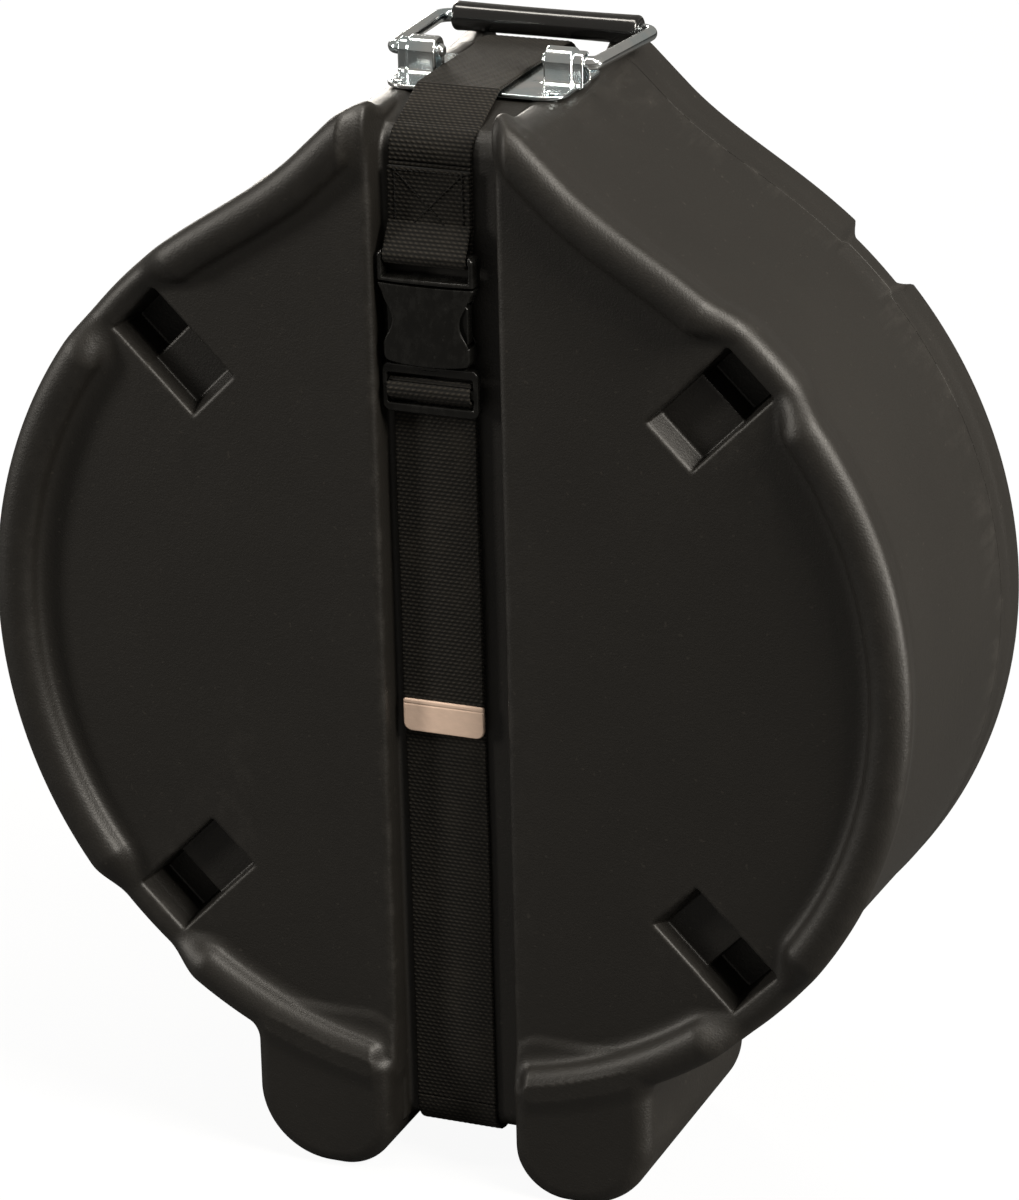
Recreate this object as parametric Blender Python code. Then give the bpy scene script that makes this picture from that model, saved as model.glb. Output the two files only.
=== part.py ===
"""Round drum case that stands on edge: two moulded shells, a carrying handle and a webbing strap.

The deep front shell carries the feet and the handle. The shallow rear shell plugs into it with an
inner collar. The strap runs all round in a belt channel and closes on the front with a
side-release buckle.

Frame: metres, +Z up, +X right, the front face looks along -Y. The origin lies under the middle of
the case, on the surface that it stands on. Angles round the case are measured from straight up.
"""
import math

import bmesh
import bpy
from mathutils import Matrix, Vector

# Shells
FACE_TO_FACE = 0.144
REAR_DEPTH = 0.019
SEAM_DEPTH = FACE_TO_FACE - REAR_DEPTH
FIT_GAP = 0.0003
WALL = 0.004
RIM_RADIUS = 0.212
RIM_WIDTH = 0.018
RIM_PROUD = 0.0105
FLANK_DEPTH = 0.010
WALL_STEP = 0.004
WALL_DRAFT = 0.003
NOTCH_CORNER = 0.006
NOTCH_FLANK = 0.001
NOTCH_FLAT_DEGREES = 5.0
NOTCH_FADE_DEGREES = 3.5
REAR_NOTCH_CORNER = 0.009
REAR_NOTCH_DROP = 0.008
REAR_NOTCH_FLAT_DEGREES = 3.4
REAR_NOTCH_FADE_DEGREES = 1.8
INNER_CORNER = 0.008
OVERRUN = 0.005

# Strap
STRAP_WIDTH = 0.038
CHANNEL_ROOM = 0.0095
CHANNEL_HALF = STRAP_WIDTH / 2 + CHANNEL_ROOM
STRAP_THICKNESS = 0.0015
STRAP_OFFSET = 0.005
STRAP_REAR_OFFSET = 0.008
LAYER = STRAP_THICKNESS + FIT_GAP
TAIL_END = 0.028
TIP_LENGTH = 0.015
TIP_THICKNESS = 0.0022
TIP_CORNER = 0.004
PLATE_FLOAT_SHARE = 0.4
RAMP_FLOAT_SHARE = 0.3
GRIP_RAMP_SHARE = 2.5
REAR_FALL_SHARE = 1.4
TAIL_SWING_SHARE = 1.3
TAIL_BAR_SHARE = 0.7
MITRE_SHARE = 0.7

# Platform under the handle, and the shoulders that fall from it to the round
CROWN_RISE = 0.0295
CROWN_HEIGHT = RIM_RADIUS + CROWN_RISE
CROWN_STEP = 0.007
PLATFORM_LEDGE = 0.0065
PLATFORM_HALF = CHANNEL_HALF + PLATFORM_LEDGE
SHOULDER_DEGREES = 44
SHOULDER_TURN = math.radians(SHOULDER_DEGREES)
SHOULDER_DISTANCE = PLATFORM_HALF * math.sin(SHOULDER_TURN) + CROWN_HEIGHT * math.cos(SHOULDER_TURN)
SHOULDER_BLEND = 0.014
SHOULDER_STEP = 0.0015
RIM_CROWN_BLEND = 0.009
WALL_CROWN_BLEND = 0.005

# Belt channel that the strap lies in
CHANNEL_DEPTH = 0.0135
CHANNEL_DROP = 0.015
CHANNEL_TOP = CROWN_HEIGHT - CHANNEL_DROP
CHANNEL_BELOW = 0.022
CHANNEL_BOTTOM = RIM_RADIUS + CHANNEL_BELOW
CHANNEL_BEND = 0.010

# Where one run of the strap meets the next
TOP_JOIN_DROP = 0.0025
STRAP_TOP_JOIN = CHANNEL_TOP - CHANNEL_BEND - TOP_JOIN_DROP
REAR_JOIN_DROP = 0.0365
STRAP_REAR_JOIN = CHANNEL_TOP - REAR_JOIN_DROP
BOTTOM_JOIN_RISE = 0.025
STRAP_BOTTOM_JOIN = CHANNEL_BOTTOM - BOTTOM_JOIN_RISE

# Feet
FOOT_HEIGHT = 0.041
CENTRE_HEIGHT = RIM_RADIUS + FOOT_HEIGHT
FOOT_SETBACK = 0.005
FOOT_DEPTH = SEAM_DEPTH - FOOT_SETBACK
FOOT_PROUD = 0.009
FOOT_HALF = 0.094
FOOT_INNER_RADIUS = 0.025
FOOT_FLAT = 0.006
FOOT_EDGE = 0.008
FOOT_EDGE_SHARES = ((0.0, 0.7), (0.3, 0.3), (1.0, 0.0))
FOOT_EMBED = 0.032
FOOT_ROOT = FOOT_HEIGHT + FOOT_EMBED
FOOT_SIDE_STEP = 0.0006
FOOT_OUTER_RADIUS = FOOT_HALF - CHANNEL_HALF - FOOT_SIDE_STEP - FOOT_INNER_RADIUS - FOOT_FLAT

# Stacking pockets, on the diagonals of both faces
POCKET_MARGIN = 0.013
POCKET_OUTER = RIM_RADIUS - POCKET_MARGIN
POCKET_WELL = 0.022
POCKET_STEP = POCKET_OUTER - POCKET_WELL
POCKET_LENGTH = 0.0515
POCKET_INNER = POCKET_OUTER - POCKET_LENGTH
POCKET_HALF = 0.014
POCKET_END_DRAFT = 0.0018
POCKET_DRAFT_SHARE = 0.08
POCKET_DEEP = 0.022
POCKET_SHALLOW = 0.0095
REAR_POCKET_DEEP = 0.012
REAR_POCKET_SHALLOW = 0.006

# Collar of the rear shell
COLLAR_REACH = 0.014
COLLAR_THICKNESS = 0.003
COLLAR_CLEARANCE = 0.0005
COLLAR_ROOT = 0.0045

# Handle plate
PLATE_OVERHANG = 0.006
PLATE_HALF = PLATFORM_HALF + PLATE_OVERHANG
PLATE_DEPTH = 0.054
PLATE_THICKNESS = 0.002
PLATE_CORNER = 0.010
EAR_OVERHANG = 0.0015
EAR_OUTER = PLATE_HALF + EAR_OVERHANG
EAR_LIP = 0.0048
EAR_STEP = EAR_OUTER - EAR_LIP
EAR_LENGTH = 0.0127
EAR_INNER = EAR_STEP - EAR_LENGTH
EAR_RISE = 0.0085
EAR_PLAY = 0.0005
EAR_SHEET = 0.0027
EAR_LIP_DROP = 0.0012
RIVET_EDGE = 0.0054
RIVET_X = PLATE_HALF - RIVET_EDGE
RIVET_END = 0.006
RIVET_Y = PLATE_DEPTH / 2 - RIVET_END
RIVET_SHANK = 0.002
RIVET_HEAD = 0.004
RIVET_HEAD_HEIGHT = 0.0016
RIVET_DOME_SHARES = ((1.0, 0.0), (0.8, 0.6), (0.35, 1.0))
RIVET_TAIL_SHARE = 0.85
RIVET_CLEARANCE = 0.0003
WASHER_RADIUS = 0.0027
WASHER_THICKNESS = 0.0012
RIVET_PAD_MARGIN = 0.0015
RIVET_PAD_DROP = 0.0028

# Bail and grip
WIRE_RADIUS = 0.003
EAR_BORE = WIRE_RADIUS + EAR_PLAY
GRIP_SETBACK = 0.010
BAIL_REACH = FACE_TO_FACE / 2 - GRIP_SETBACK
BAIL_DROP = 0.0016
BAIL_SIDE_GAP = 0.004
BAIL_NECK = EAR_OUTER + BAIL_SIDE_GAP
BAIL_FLARE = 0.0035
BAIL_HALF = BAIL_NECK + BAIL_FLARE
BAIL_STUB = 0.0025
BAIL_TAIL = EAR_INNER - BAIL_STUB
BAIL_BEND = 0.006
GRIP_RADIUS = 0.0065
GRIP_END_GAP = 0.0065
GRIP_HALF = BAIL_HALF - GRIP_END_GAP
GRIP_BORE_CLEARANCE = 0.0003
GRIP_EDGE = 0.0012

# Buckle, by heights above the middle of the face and by depths behind it
BUCKLE_DROP = 0.0645
BUCKLE_TOP = CROWN_HEIGHT - BUCKLE_DROP
HOUSING_LENGTH = 0.050
BUCKLE_MOUTH = BUCKLE_TOP - HOUSING_LENGTH
BUCKLE_FRONT = 0.0012
BUCKLE_BACK_GAP = 0.0007
BUCKLE_BACK = CHANNEL_DEPTH - BUCKLE_BACK_GAP
BUCKLE_MIDDLE = (BUCKLE_FRONT + BUCKLE_BACK) / 2
BUCKLE_SKIN = 0.0018
BUCKLE_CORNER = 0.0035
SLOT_PLAY = 0.0006
SLOT_HALF = STRAP_WIDTH / 2 + SLOT_PLAY
SLOT_HEIGHT = 0.0046
BAR_HEIGHT = 0.004
BAR_FRONT = BUCKLE_MIDDLE - BAR_HEIGHT / 2
BAR_BACK = BUCKLE_MIDDLE + BAR_HEIGHT / 2
BUCKLE_SIDE = 0.0026
BUCKLE_HALF = SLOT_HALF + BUCKLE_SIDE
BUCKLE_WAIST = 0.0022
BUCKLE_BODY_HALF = BUCKLE_HALF - BUCKLE_WAIST
HOUSING_SLOT = 0.0074
SOCKET_END_WALL = 0.0056
CAVITY_TOP = BUCKLE_TOP - BAR_HEIGHT - HOUSING_SLOT - SOCKET_END_WALL
SOCKET_SIDE_WALL = 0.0028
CAVITY_HALF = BUCKLE_BODY_HALF - SOCKET_SIDE_WALL
SHOULDER_BAND = 0.003
BUCKLE_SHOULDER = CAVITY_TOP + SHOULDER_BAND
MOUTH_BAND = 0.010
WINDOW_LOW = BUCKLE_MOUTH + MOUTH_BAND
WINDOW_HIGH = CAVITY_TOP - SHOULDER_BAND
WINDOW_BITE = 0.0042
FRAME_SPARE = 0.0005
BUCKLE_BOTTOM = BUCKLE_MOUTH - FIT_GAP - 3 * BAR_HEIGHT - 2 * SLOT_HEIGHT - FRAME_SPARE
PLUG_THICKNESS = 0.0048
TONGUE_HALF = 0.0034
TONGUE_END_GAP = 0.005
TONGUE_TOP = CAVITY_TOP - TONGUE_END_GAP
PRONG_ROOT_X = 0.0118
PRONG_WIDTH = 0.004
LATCH_GAP = 0.0005
PRONG_HEAD_LOW = WINDOW_LOW + LATCH_GAP
PRONG_TIP_GAP = 0.001
PRONG_HEAD_HIGH = WINDOW_HIGH - PRONG_TIP_GAP
PRONG_HEAD_INSET = 0.0014
PRONG_HEAD_REACH = BUCKLE_BODY_HALF - PRONG_HEAD_INSET
FOLD_LENGTH = 0.035
STRAP_FOLD_TOP = BUCKLE_TOP + FOLD_LENGTH

# Foam lining
PAD_THICKNESS = 0.012
PAD_CLEARANCE = 0.0055
PAD_RADIUS = POCKET_INNER - PAD_CLEARANCE
PAD_SIDE_GAP = 0.001
LINER_THICKNESS = 0.008
LINER_FRONT = 0.030
LINER_SETBACK = 0.017
LINER_BACK = SEAM_DEPTH - LINER_SETBACK
LINER_TOP_DEGREES = 38
LINER_LOW_DEGREES = 144

# Counts, and the spacing of the outline's points
RIM_STEPS = 6
FLANK_STEPS = 2
ARC_STEPS = 6
FOOT_STEPS = 8
DISC_STEPS = 24
ROUND_SIDES = 16
RIVET_SIDES = 12
PAD_STEPS = 14
NOTCH_FLAT_SHARE = 0.35
SECTOR_DEGREES = (0, 8, 28, 36, 54, 126, 144, 180)
SECTOR_STEPS = (2, 8, 2, 12, 12, 12, 6)

FRONT_Y = -FACE_TO_FACE / 2
DIAGONALS = tuple(math.radians(45 + 90 * turn) for turn in range(4))
MATERIALS = {
    "shell_plastic": ((0.022, 0.021, 0.018), 0.48, 0.0),
    "zinc_plate": ((0.72, 0.75, 0.78), 0.28, 1.0),
    "grip_vinyl": ((0.008, 0.008, 0.008), 0.22, 0.0),
    "webbing": ((0.020, 0.019, 0.017), 0.85, 0.0),
    "buckle_plastic": ((0.012, 0.012, 0.012), 0.40, 0.0),
    "tip_plastic": ((0.78, 0.62, 0.50), 0.25, 0.0),
    "foam": ((0.05, 0.05, 0.055), 0.95, 0.0),
}


def clear_scene():
    """Remove every object that the file starts with."""
    for old in list(bpy.data.objects):
        bpy.data.objects.remove(old, do_unlink=True)


def material(name):
    """Return the named Principled material, made on first use."""
    found = bpy.data.materials.get(name)
    if found:
        return found
    colour, roughness, metallic = MATERIALS[name]
    made = bpy.data.materials.new(name)
    made.use_nodes = True
    shader = made.node_tree.nodes["Principled BSDF"]
    shader.inputs["Base Color"].default_value = (*colour, 1.0)
    shader.inputs["Roughness"].default_value = roughness
    shader.inputs["Metallic"].default_value = metallic
    return made


def make_object(name, bm, finish=None, crease_angle=math.radians(35)):
    """Turn a bmesh into a named object with outward faces and one material."""
    bmesh.ops.recalc_face_normals(bm, faces=bm.faces)
    mesh = bpy.data.meshes.new(name)
    bm.to_mesh(mesh)
    bm.free()
    mesh.shade_smooth()
    mesh.set_sharp_from_angle(angle=crease_angle)
    made = bpy.data.objects.new(name, mesh)
    bpy.context.scene.collection.objects.link(made)
    if finish:
        mesh.materials.append(material(finish))
    return made


def combine(target, other, operation):
    """Apply one exact Boolean to target and remove the other object."""
    modifier = target.modifiers.new(operation, "BOOLEAN")
    modifier.operation = operation
    modifier.solver = "EXACT"
    modifier.object = other
    graph = bpy.context.evaluated_depsgraph_get()
    result = bpy.data.meshes.new_from_object(target.evaluated_get(graph))
    target.modifiers.clear()
    target.data = result
    bpy.data.objects.remove(other, do_unlink=True)
    return target


def set_origin(made, place):
    """Move an object's origin to a place and leave its shape where it is."""
    made.data.transform(Matrix.Translation(-place))
    made.location = place
    return made


def smooth_max(first, second, blend):
    """Larger of two lengths, rounded over where they are within blend of each other."""
    share = max(0.0, min(1.0, 0.5 + 0.5 * (first - second) / blend))
    return second + (first - second) * share + blend * share * (1.0 - share)


def fade(value, start, width):
    """Smooth step from 1 before start to 0 past start + width."""
    share = max(0.0, min(1.0, (value - start) / width))
    return 1.0 - share * share * (3.0 - 2.0 * share)


def outline_radius(angle, circle_inset, slope_inset, top_inset, crown_blend):
    """Distance from the case's middle to its outline: circle, sloped shoulders and platform."""
    tilt = abs(math.atan2(math.sin(angle), math.cos(angle)))
    circle = RIM_RADIUS - circle_inset
    slope = (SHOULDER_DISTANCE - slope_inset) / math.cos(min(0.0, tilt - SHOULDER_TURN))
    radius = smooth_max(circle, slope, SHOULDER_BLEND)
    if tilt < SHOULDER_TURN:
        platform = (CROWN_HEIGHT - top_inset) / math.cos(tilt)
        radius = -smooth_max(-radius, -platform, crown_blend)
    return radius


def outline_angles():
    """Angles of the lofts' points: close together at the shoulders and the notches."""
    half = [0.0]
    for start, end, steps in zip(SECTOR_DEGREES, SECTOR_DEGREES[1:], SECTOR_STEPS):
        for step in range(1, steps + 1):
            half.append(math.radians(start + (end - start) * step / steps))
    return half + [-angle for angle in reversed(half[1:-1])]


def polar_point(angle, radius, y):
    """Point of the case at an angle from straight up and a distance from the middle."""
    return Vector((radius * math.sin(angle), y, CENTRE_HEIGHT + radius * math.cos(angle)))


def face_y(depth, rear):
    """World Y of a depth behind the front face, or ahead of the rear face."""
    return -FRONT_Y - depth if rear else FRONT_Y + depth


def notch_share(angle, rear):
    """How far the rolled rim has sunk: 1 at a stacking pocket, 0 away from it.

    The rear rim is notched at the two upper pockets alone.
    """
    notched = [diagonal for diagonal in DIAGONALS if not rear or math.cos(diagonal) > 0]
    gap = math.degrees(min(abs(math.remainder(angle - diagonal, 2 * math.pi)) for diagonal in notched))
    if rear:
        return fade(gap, REAR_NOTCH_FLAT_DEGREES, REAR_NOTCH_FADE_DEGREES)
    return fade(gap, NOTCH_FLAT_DEGREES, NOTCH_FADE_DEGREES)


def rim_profile(notch, rear):
    """Stations from the face's crease over the rim to the wall, as (inset, wall share, depth)."""
    stations = []
    drop = REAR_NOTCH_DROP if rear else 0
    corner_radius = REAR_NOTCH_CORNER if rear else NOTCH_CORNER
    flat_start = RIM_WIDTH - corner_radius
    for step in range(RIM_STEPS + 1):
        share = step / RIM_STEPS
        turn = math.pi * share
        rolled = (RIM_WIDTH * (1 + math.cos(turn)) / 2, -RIM_PROUD * math.sin(turn))
        round_share = max(0.0, (share - NOTCH_FLAT_SHARE) / (1 - NOTCH_FLAT_SHARE))
        corner = math.radians(90) * round_share
        flat_share = min(1.0, share / NOTCH_FLAT_SHARE)
        inset = corner_radius * (1 - math.sin(corner)) + flat_start * (1 - flat_share)
        sunk = (inset, drop * flat_share + corner_radius * (1 - math.cos(corner)))
        stations.append((rolled[0] + (sunk[0] - rolled[0]) * notch, 0.0,
                         rolled[1] + (sunk[1] - rolled[1]) * notch))
    last_depth = stations[-1][2]
    flank_end = max(FLANK_DEPTH, last_depth + NOTCH_FLANK)
    for step in range(1, FLANK_STEPS + 1):
        share = step / FLANK_STEPS
        depth = last_depth + (flank_end - last_depth) * share
        stations.append((stations[RIM_STEPS][0] * (1 - share), 1 - fade(share, 0, 1), depth))
    return stations


def wall_step(depth):
    """How far the round wall lies inside the rim; moulding draft widens it towards the seam."""
    share = max(0.0, min(1.0, (depth - FLANK_DEPTH) / (SEAM_DEPTH - FLANK_DEPTH)))
    return WALL_STEP - WALL_DRAFT * share


def front_depth(depth, rear):
    """Depth behind the front face of a depth behind either face."""
    return FACE_TO_FACE - depth if rear else depth


def loft(rings, name, finish=None, twisted=False):
    """Skin closed rings of equal length in order, and cap both ends.

    A twisted skin's four-sided faces aren't flat, so they are split into triangles.
    """
    bm = bmesh.new()
    rows = [[bm.verts.new(point) for point in ring] for ring in rings]
    for row, following in zip(rows, rows[1:]):
        for index in range(len(row)):
            after = (index + 1) % len(row)
            bm.faces.new((row[index], row[after], following[after], following[index]))
    if twisted:
        bmesh.ops.triangulate(bm, faces=bm.faces[:])
    bm.faces.new(rows[0])
    bm.faces.new(list(reversed(rows[-1])))
    return make_object(name, bm, finish)


def wall_radius(angle, extra, depth):
    """Radius of the side wall's outer face at a depth behind the front, moved inward by extra."""
    return outline_radius(angle, wall_step(depth) + extra, SHOULDER_STEP + extra, CROWN_STEP + extra,
                          WALL_CROWN_BLEND)


def shell_outside(name, length, rear):
    """Solid with the outer form of one shell: flat face, rolled rim and side wall."""
    angles = outline_angles()
    columns = []
    for angle in angles:
        column = []
        for inset, wall_share, depth in rim_profile(notch_share(angle, rear), rear):
            radius = outline_radius(
                angle,
                inset + wall_step(front_depth(depth, rear)) * wall_share,
                inset + SHOULDER_STEP * wall_share,
                inset + CROWN_STEP * wall_share,
                RIM_CROWN_BLEND + (WALL_CROWN_BLEND - RIM_CROWN_BLEND) * wall_share)
            column.append(polar_point(angle, radius, face_y(depth, rear)))
        mouth = wall_radius(angle, 0, front_depth(length, rear))
        column.append(polar_point(angle, mouth, face_y(length, rear)))
        columns.append(column)
    return loft(list(zip(*columns)), name, "shell_plastic", twisted=True)


def shell_inside(name, length, rear):
    """Solid that fills the hollow of one shell and runs out past its mouth."""
    stations = ((WALL + INNER_CORNER, WALL), (WALL, WALL + INNER_CORNER), (WALL, length),
                (WALL, length + OVERRUN))
    rings = [[polar_point(angle, wall_radius(angle, inset, front_depth(depth, rear)), face_y(depth, rear))
              for angle in outline_angles()] for inset, depth in stations]
    return loft(rings, name, twisted=True)


def prism(name, outline, low_y, high_y, finish=None):
    """Extrude an outline of (x, z) points along Y."""
    rings = [[Vector((x, y, z)) for x, z in outline] for y in (low_y, high_y)]
    return loft(rings, name, finish)


def box(name, low, high, finish=None):
    """Box between two corners."""
    outline = ((low[0], low[2]), (high[0], low[2]), (high[0], high[2]), (low[0], high[2]))
    return prism(name, outline, low[1], high[1], finish)


def arc_points(centre, radius, start, end, steps=ARC_STEPS):
    """Points of an arc in a plane, both ends included, angles in degrees from +X."""
    turns = [math.radians(start + (end - start) * step / steps) for step in range(steps + 1)]
    return [(centre[0] + radius * math.cos(turn), centre[1] + radius * math.sin(turn))
            for turn in turns]


def rounded_rectangle(low, high, radius, steps=ARC_STEPS):
    """Outline of a rectangle with four round corners."""
    points = arc_points((high[0] - radius, high[1] - radius), radius, 0, 90, steps)
    points += arc_points((low[0] + radius, high[1] - radius), radius, 90, 180, steps)
    points += arc_points((low[0] + radius, low[1] + radius), radius, 180, 270, steps)
    points += arc_points((high[0] - radius, low[1] + radius), radius, 270, 360, steps)
    return points


def side_prism(name, outline, low_x, high_x, finish=None):
    """Extrude an outline of (y, z) points along X."""
    rings = [[Vector((x, y, z)) for y, z in outline] for x in (low_x, high_x)]
    return loft(rings, name, finish)


def belt_cutter(grow):
    """What the belt channel takes away, grown by a wall for the hollow's side."""
    half = CHANNEL_HALF + grow
    outside = RIM_PROUD + OVERRUN
    cutter = box("belt_cutter", (-half, FRONT_Y - outside, -OVERRUN),
                 (half, -FRONT_Y + outside, CENTRE_HEIGHT + CROWN_HEIGHT + OVERRUN))
    low = (FRONT_Y + CHANNEL_DEPTH + grow, CENTRE_HEIGHT - CHANNEL_BOTTOM + grow)
    high = (-FRONT_Y - CHANNEL_DEPTH - grow, CENTRE_HEIGHT + CHANNEL_TOP - grow)
    core = side_prism("belt_core", rounded_rectangle(low, high, CHANNEL_BEND - grow),
                      -half - OVERRUN, half + OVERRUN)
    return combine(cutter, core, "DIFFERENCE")


def pocket_cutter(diagonal, rear, grow):
    """One stacking pocket: a shallow landing and a deep well at its outer end, with draft."""
    deep = (REAR_POCKET_DEEP if rear else POCKET_DEEP) + grow
    shallow = (REAR_POCKET_SHALLOW if rear else POCKET_SHALLOW) + grow
    mouth = -RIM_PROUD - OVERRUN
    inner = POCKET_INNER - grow
    step = POCKET_STEP - grow
    outer = RIM_RADIUS if grow else POCKET_OUTER
    profile = ((inner, mouth), (inner + POCKET_END_DRAFT, shallow), (step, shallow),
               (step, deep), (outer, deep), (outer, mouth))
    sideways = Vector((math.cos(diagonal), 0, -math.sin(diagonal)))
    rings = []
    for side in (-1, 1):
        rings.append([polar_point(diagonal, along, face_y(depth, rear))
                      + sideways * side * (POCKET_HALF + grow - POCKET_DRAFT_SHARE * depth)
                      for along, depth in profile])
    return loft(rings, "pocket_cutter")


def foot_outline(side, inset):
    """Outline of one foot, moved inward by inset: nearly a half round, with a narrow flat."""
    left = CHANNEL_HALF + FOOT_SIDE_STEP + inset
    right = FOOT_HALF - inset
    floor = inset
    top = FOOT_ROOT + inset
    inner = FOOT_INNER_RADIUS - inset
    outer = FOOT_OUTER_RADIUS - inset
    points = [(left, top)]
    points += arc_points((left + inner, floor + inner), inner, 180, 270, FOOT_STEPS)
    points += arc_points((right - outer, floor + outer), outer, 270, 360, FOOT_STEPS)
    points += [(right, top)]
    return [(side * x, z) for x, z in points]


def foot_solid(side, grow):
    """One foot with rounded front and back edges, or its hollow when grow is a wall.

    The foot stands ahead of the face, and that part of it ends under the crest of the rolled rim.
    """
    front = FRONT_Y - FOOT_PROUD + grow
    back = FRONT_Y + FOOT_DEPTH - grow
    stations = [(front + FOOT_EDGE * along, FOOT_EDGE * inset) for along, inset in FOOT_EDGE_SHARES]
    stations += [(back - FOOT_EDGE * along, FOOT_EDGE * inset)
                 for along, inset in reversed(FOOT_EDGE_SHARES)]
    rings = [[Vector((x, y, z)) for x, z in foot_outline(side, grow + edge)]
             for y, edge in stations]
    foot = loft(rings, "foot", "shell_plastic")
    crest = RIM_RADIUS - RIM_WIDTH / 2
    disc = arc_points((0, CENTRE_HEIGHT), crest, 225, 315, DISC_STEPS)
    disc.append((0, CENTRE_HEIGHT))
    face = prism("face_disc", disc, FRONT_Y - FOOT_PROUD - OVERRUN, FRONT_Y + grow + OVERRUN)
    return combine(foot, face, "DIFFERENCE")


def web_solid(grow):
    """Bridge between the feet that carries the channel's floor, or its hollow."""
    half = CHANNEL_HALF + WALL - grow / 2
    floor = CENTRE_HEIGHT - CHANNEL_BOTTOM - FOOT_SIDE_STEP + grow
    return box("web", (-half, FRONT_Y + CHANNEL_DEPTH / 2 + grow, floor),
               (half, FRONT_Y + FOOT_DEPTH - FOOT_EDGE - grow, FOOT_ROOT + grow), "shell_plastic")


def rivet_places():
    """Middles of the four rivets, seen from above."""
    return [(side * RIVET_X, row * RIVET_Y) for side in (-1, 1) for row in (-1, 1)]


def turned(name, profile, place, finish=None, sides=ROUND_SIDES):
    """Turned piece about a vertical axis; the profile's (radius, height) runs bottom to top."""
    rings = [[Vector((place[0] + radius * math.cos(2 * math.pi * step / sides),
                      place[1] + radius * math.sin(2 * math.pi * step / sides),
                      place[2] + height)) for step in range(sides)]
             for radius, height in profile]
    return loft(rings, name, finish)


def drill_rivet_holes(target, low, high):
    """Cut the four rivet holes through a piece between two heights."""
    for x, y in rivet_places():
        hole = turned("rivet_hole", ((RIVET_SHANK + RIVET_CLEARANCE, low),
                                     (RIVET_SHANK + RIVET_CLEARANCE, high)), (x, y, 0))
        combine(target, hole, "DIFFERENCE")
    return target


def rivet_pad():
    """Flat thickening of the platform that the rivets' washers bear on."""
    pad_low = CENTRE_HEIGHT + CROWN_HEIGHT - CROWN_STEP - WALL - RIVET_PAD_DROP
    half = PLATE_HALF - RIVET_PAD_MARGIN
    return box("rivet_pad", (-half, -PLATE_DEPTH / 2, pad_low),
               (half, PLATE_DEPTH / 2, CENTRE_HEIGHT + CROWN_HEIGHT + OVERRUN))


def front_shell():
    """Deep shell with the feet, the channel, four pockets and the rivet holes."""
    shell = shell_outside("front_shell", SEAM_DEPTH, False)
    hollow = shell_inside("front_hollow", SEAM_DEPTH, False)
    for side in (-1, 1):
        combine(shell, foot_solid(side, 0), "UNION")
        combine(hollow, foot_solid(side, WALL), "UNION")
    combine(hollow, rivet_pad(), "DIFFERENCE")
    combine(shell, web_solid(0), "UNION")
    combine(hollow, web_solid(WALL), "UNION")
    combine(shell, belt_cutter(0), "DIFFERENCE")
    combine(hollow, belt_cutter(WALL), "DIFFERENCE")
    for diagonal in DIAGONALS:
        combine(shell, pocket_cutter(diagonal, False, 0), "DIFFERENCE")
        combine(hollow, pocket_cutter(diagonal, False, WALL), "DIFFERENCE")
    combine(shell, hollow, "DIFFERENCE")
    platform = CENTRE_HEIGHT + CROWN_HEIGHT - CROWN_STEP
    drill_rivet_holes(shell, platform - WALL - RIVET_PAD_DROP - OVERRUN, platform + OVERRUN)
    return shell


def collar_ring():
    """Ring that plugs into the front shell, open where the belt channel passes."""
    length = FACE_TO_FACE - SEAM_DEPTH - FIT_GAP
    outer = ((length - COLLAR_ROOT, WALL / 2), (length - FIT_GAP, WALL / 2),
             (length - FIT_GAP, WALL + COLLAR_CLEARANCE),
             (length + COLLAR_REACH, WALL + COLLAR_CLEARANCE))
    inner = WALL + COLLAR_CLEARANCE + COLLAR_THICKNESS
    rings = [[polar_point(angle, wall_radius(angle, inset, front_depth(depth, True)), face_y(depth, True))
              for angle in outline_angles()] for depth, inset in outer]
    ring = loft(rings, "collar", "shell_plastic")
    core = [[polar_point(angle, wall_radius(angle, inner, front_depth(depth, True)), face_y(depth, True))
             for angle in outline_angles()]
            for depth in (length - COLLAR_ROOT - OVERRUN, length, length + COLLAR_REACH + OVERRUN)]
    combine(ring, loft(core, "collar_core"), "DIFFERENCE")
    half = CHANNEL_HALF + WALL + COLLAR_CLEARANCE * 2
    gap = box("collar_gap", (-half, 0, -OVERRUN),
              (half, -FRONT_Y, CENTRE_HEIGHT + CROWN_HEIGHT + OVERRUN))
    return combine(ring, gap, "DIFFERENCE")


def rear_shell():
    """Shallow shell with the channel, four pockets and the collar."""
    length = FACE_TO_FACE - SEAM_DEPTH - FIT_GAP
    shell = shell_outside("rear_shell", length, True)
    hollow = shell_inside("rear_hollow", length, True)
    combine(shell, belt_cutter(0), "DIFFERENCE")
    combine(hollow, belt_cutter(WALL), "DIFFERENCE")
    for diagonal in DIAGONALS:
        combine(shell, pocket_cutter(diagonal, True, 0), "DIFFERENCE")
        combine(hollow, pocket_cutter(diagonal, True, WALL), "DIFFERENCE")
    combine(shell, hollow, "DIFFERENCE")
    return combine(shell, collar_ring(), "UNION")


PLATE_LOW = CENTRE_HEIGHT + CROWN_HEIGHT - CROWN_STEP + FIT_GAP
PLATE_TOP = PLATE_LOW + PLATE_THICKNESS
PIVOT = Vector((0, 0, PLATE_TOP + EAR_RISE))


def flat_plate(name, outline, low, high, finish=None):
    """Extrude an outline of (x, y) points upward."""
    rings = [[Vector((x, y, z)) for x, y in outline] for z in (low, high)]
    return loft(rings, name, finish)


def ear_outline(radius, foot):
    """Arch in the YZ plane: two legs down to the foot and a half round over the wire."""
    points = arc_points((PIVOT.y, PIVOT.z), radius, 0, 180)
    return [(PIVOT.y + radius, foot)] + points + [(PIVOT.y - radius, foot)]


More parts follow.
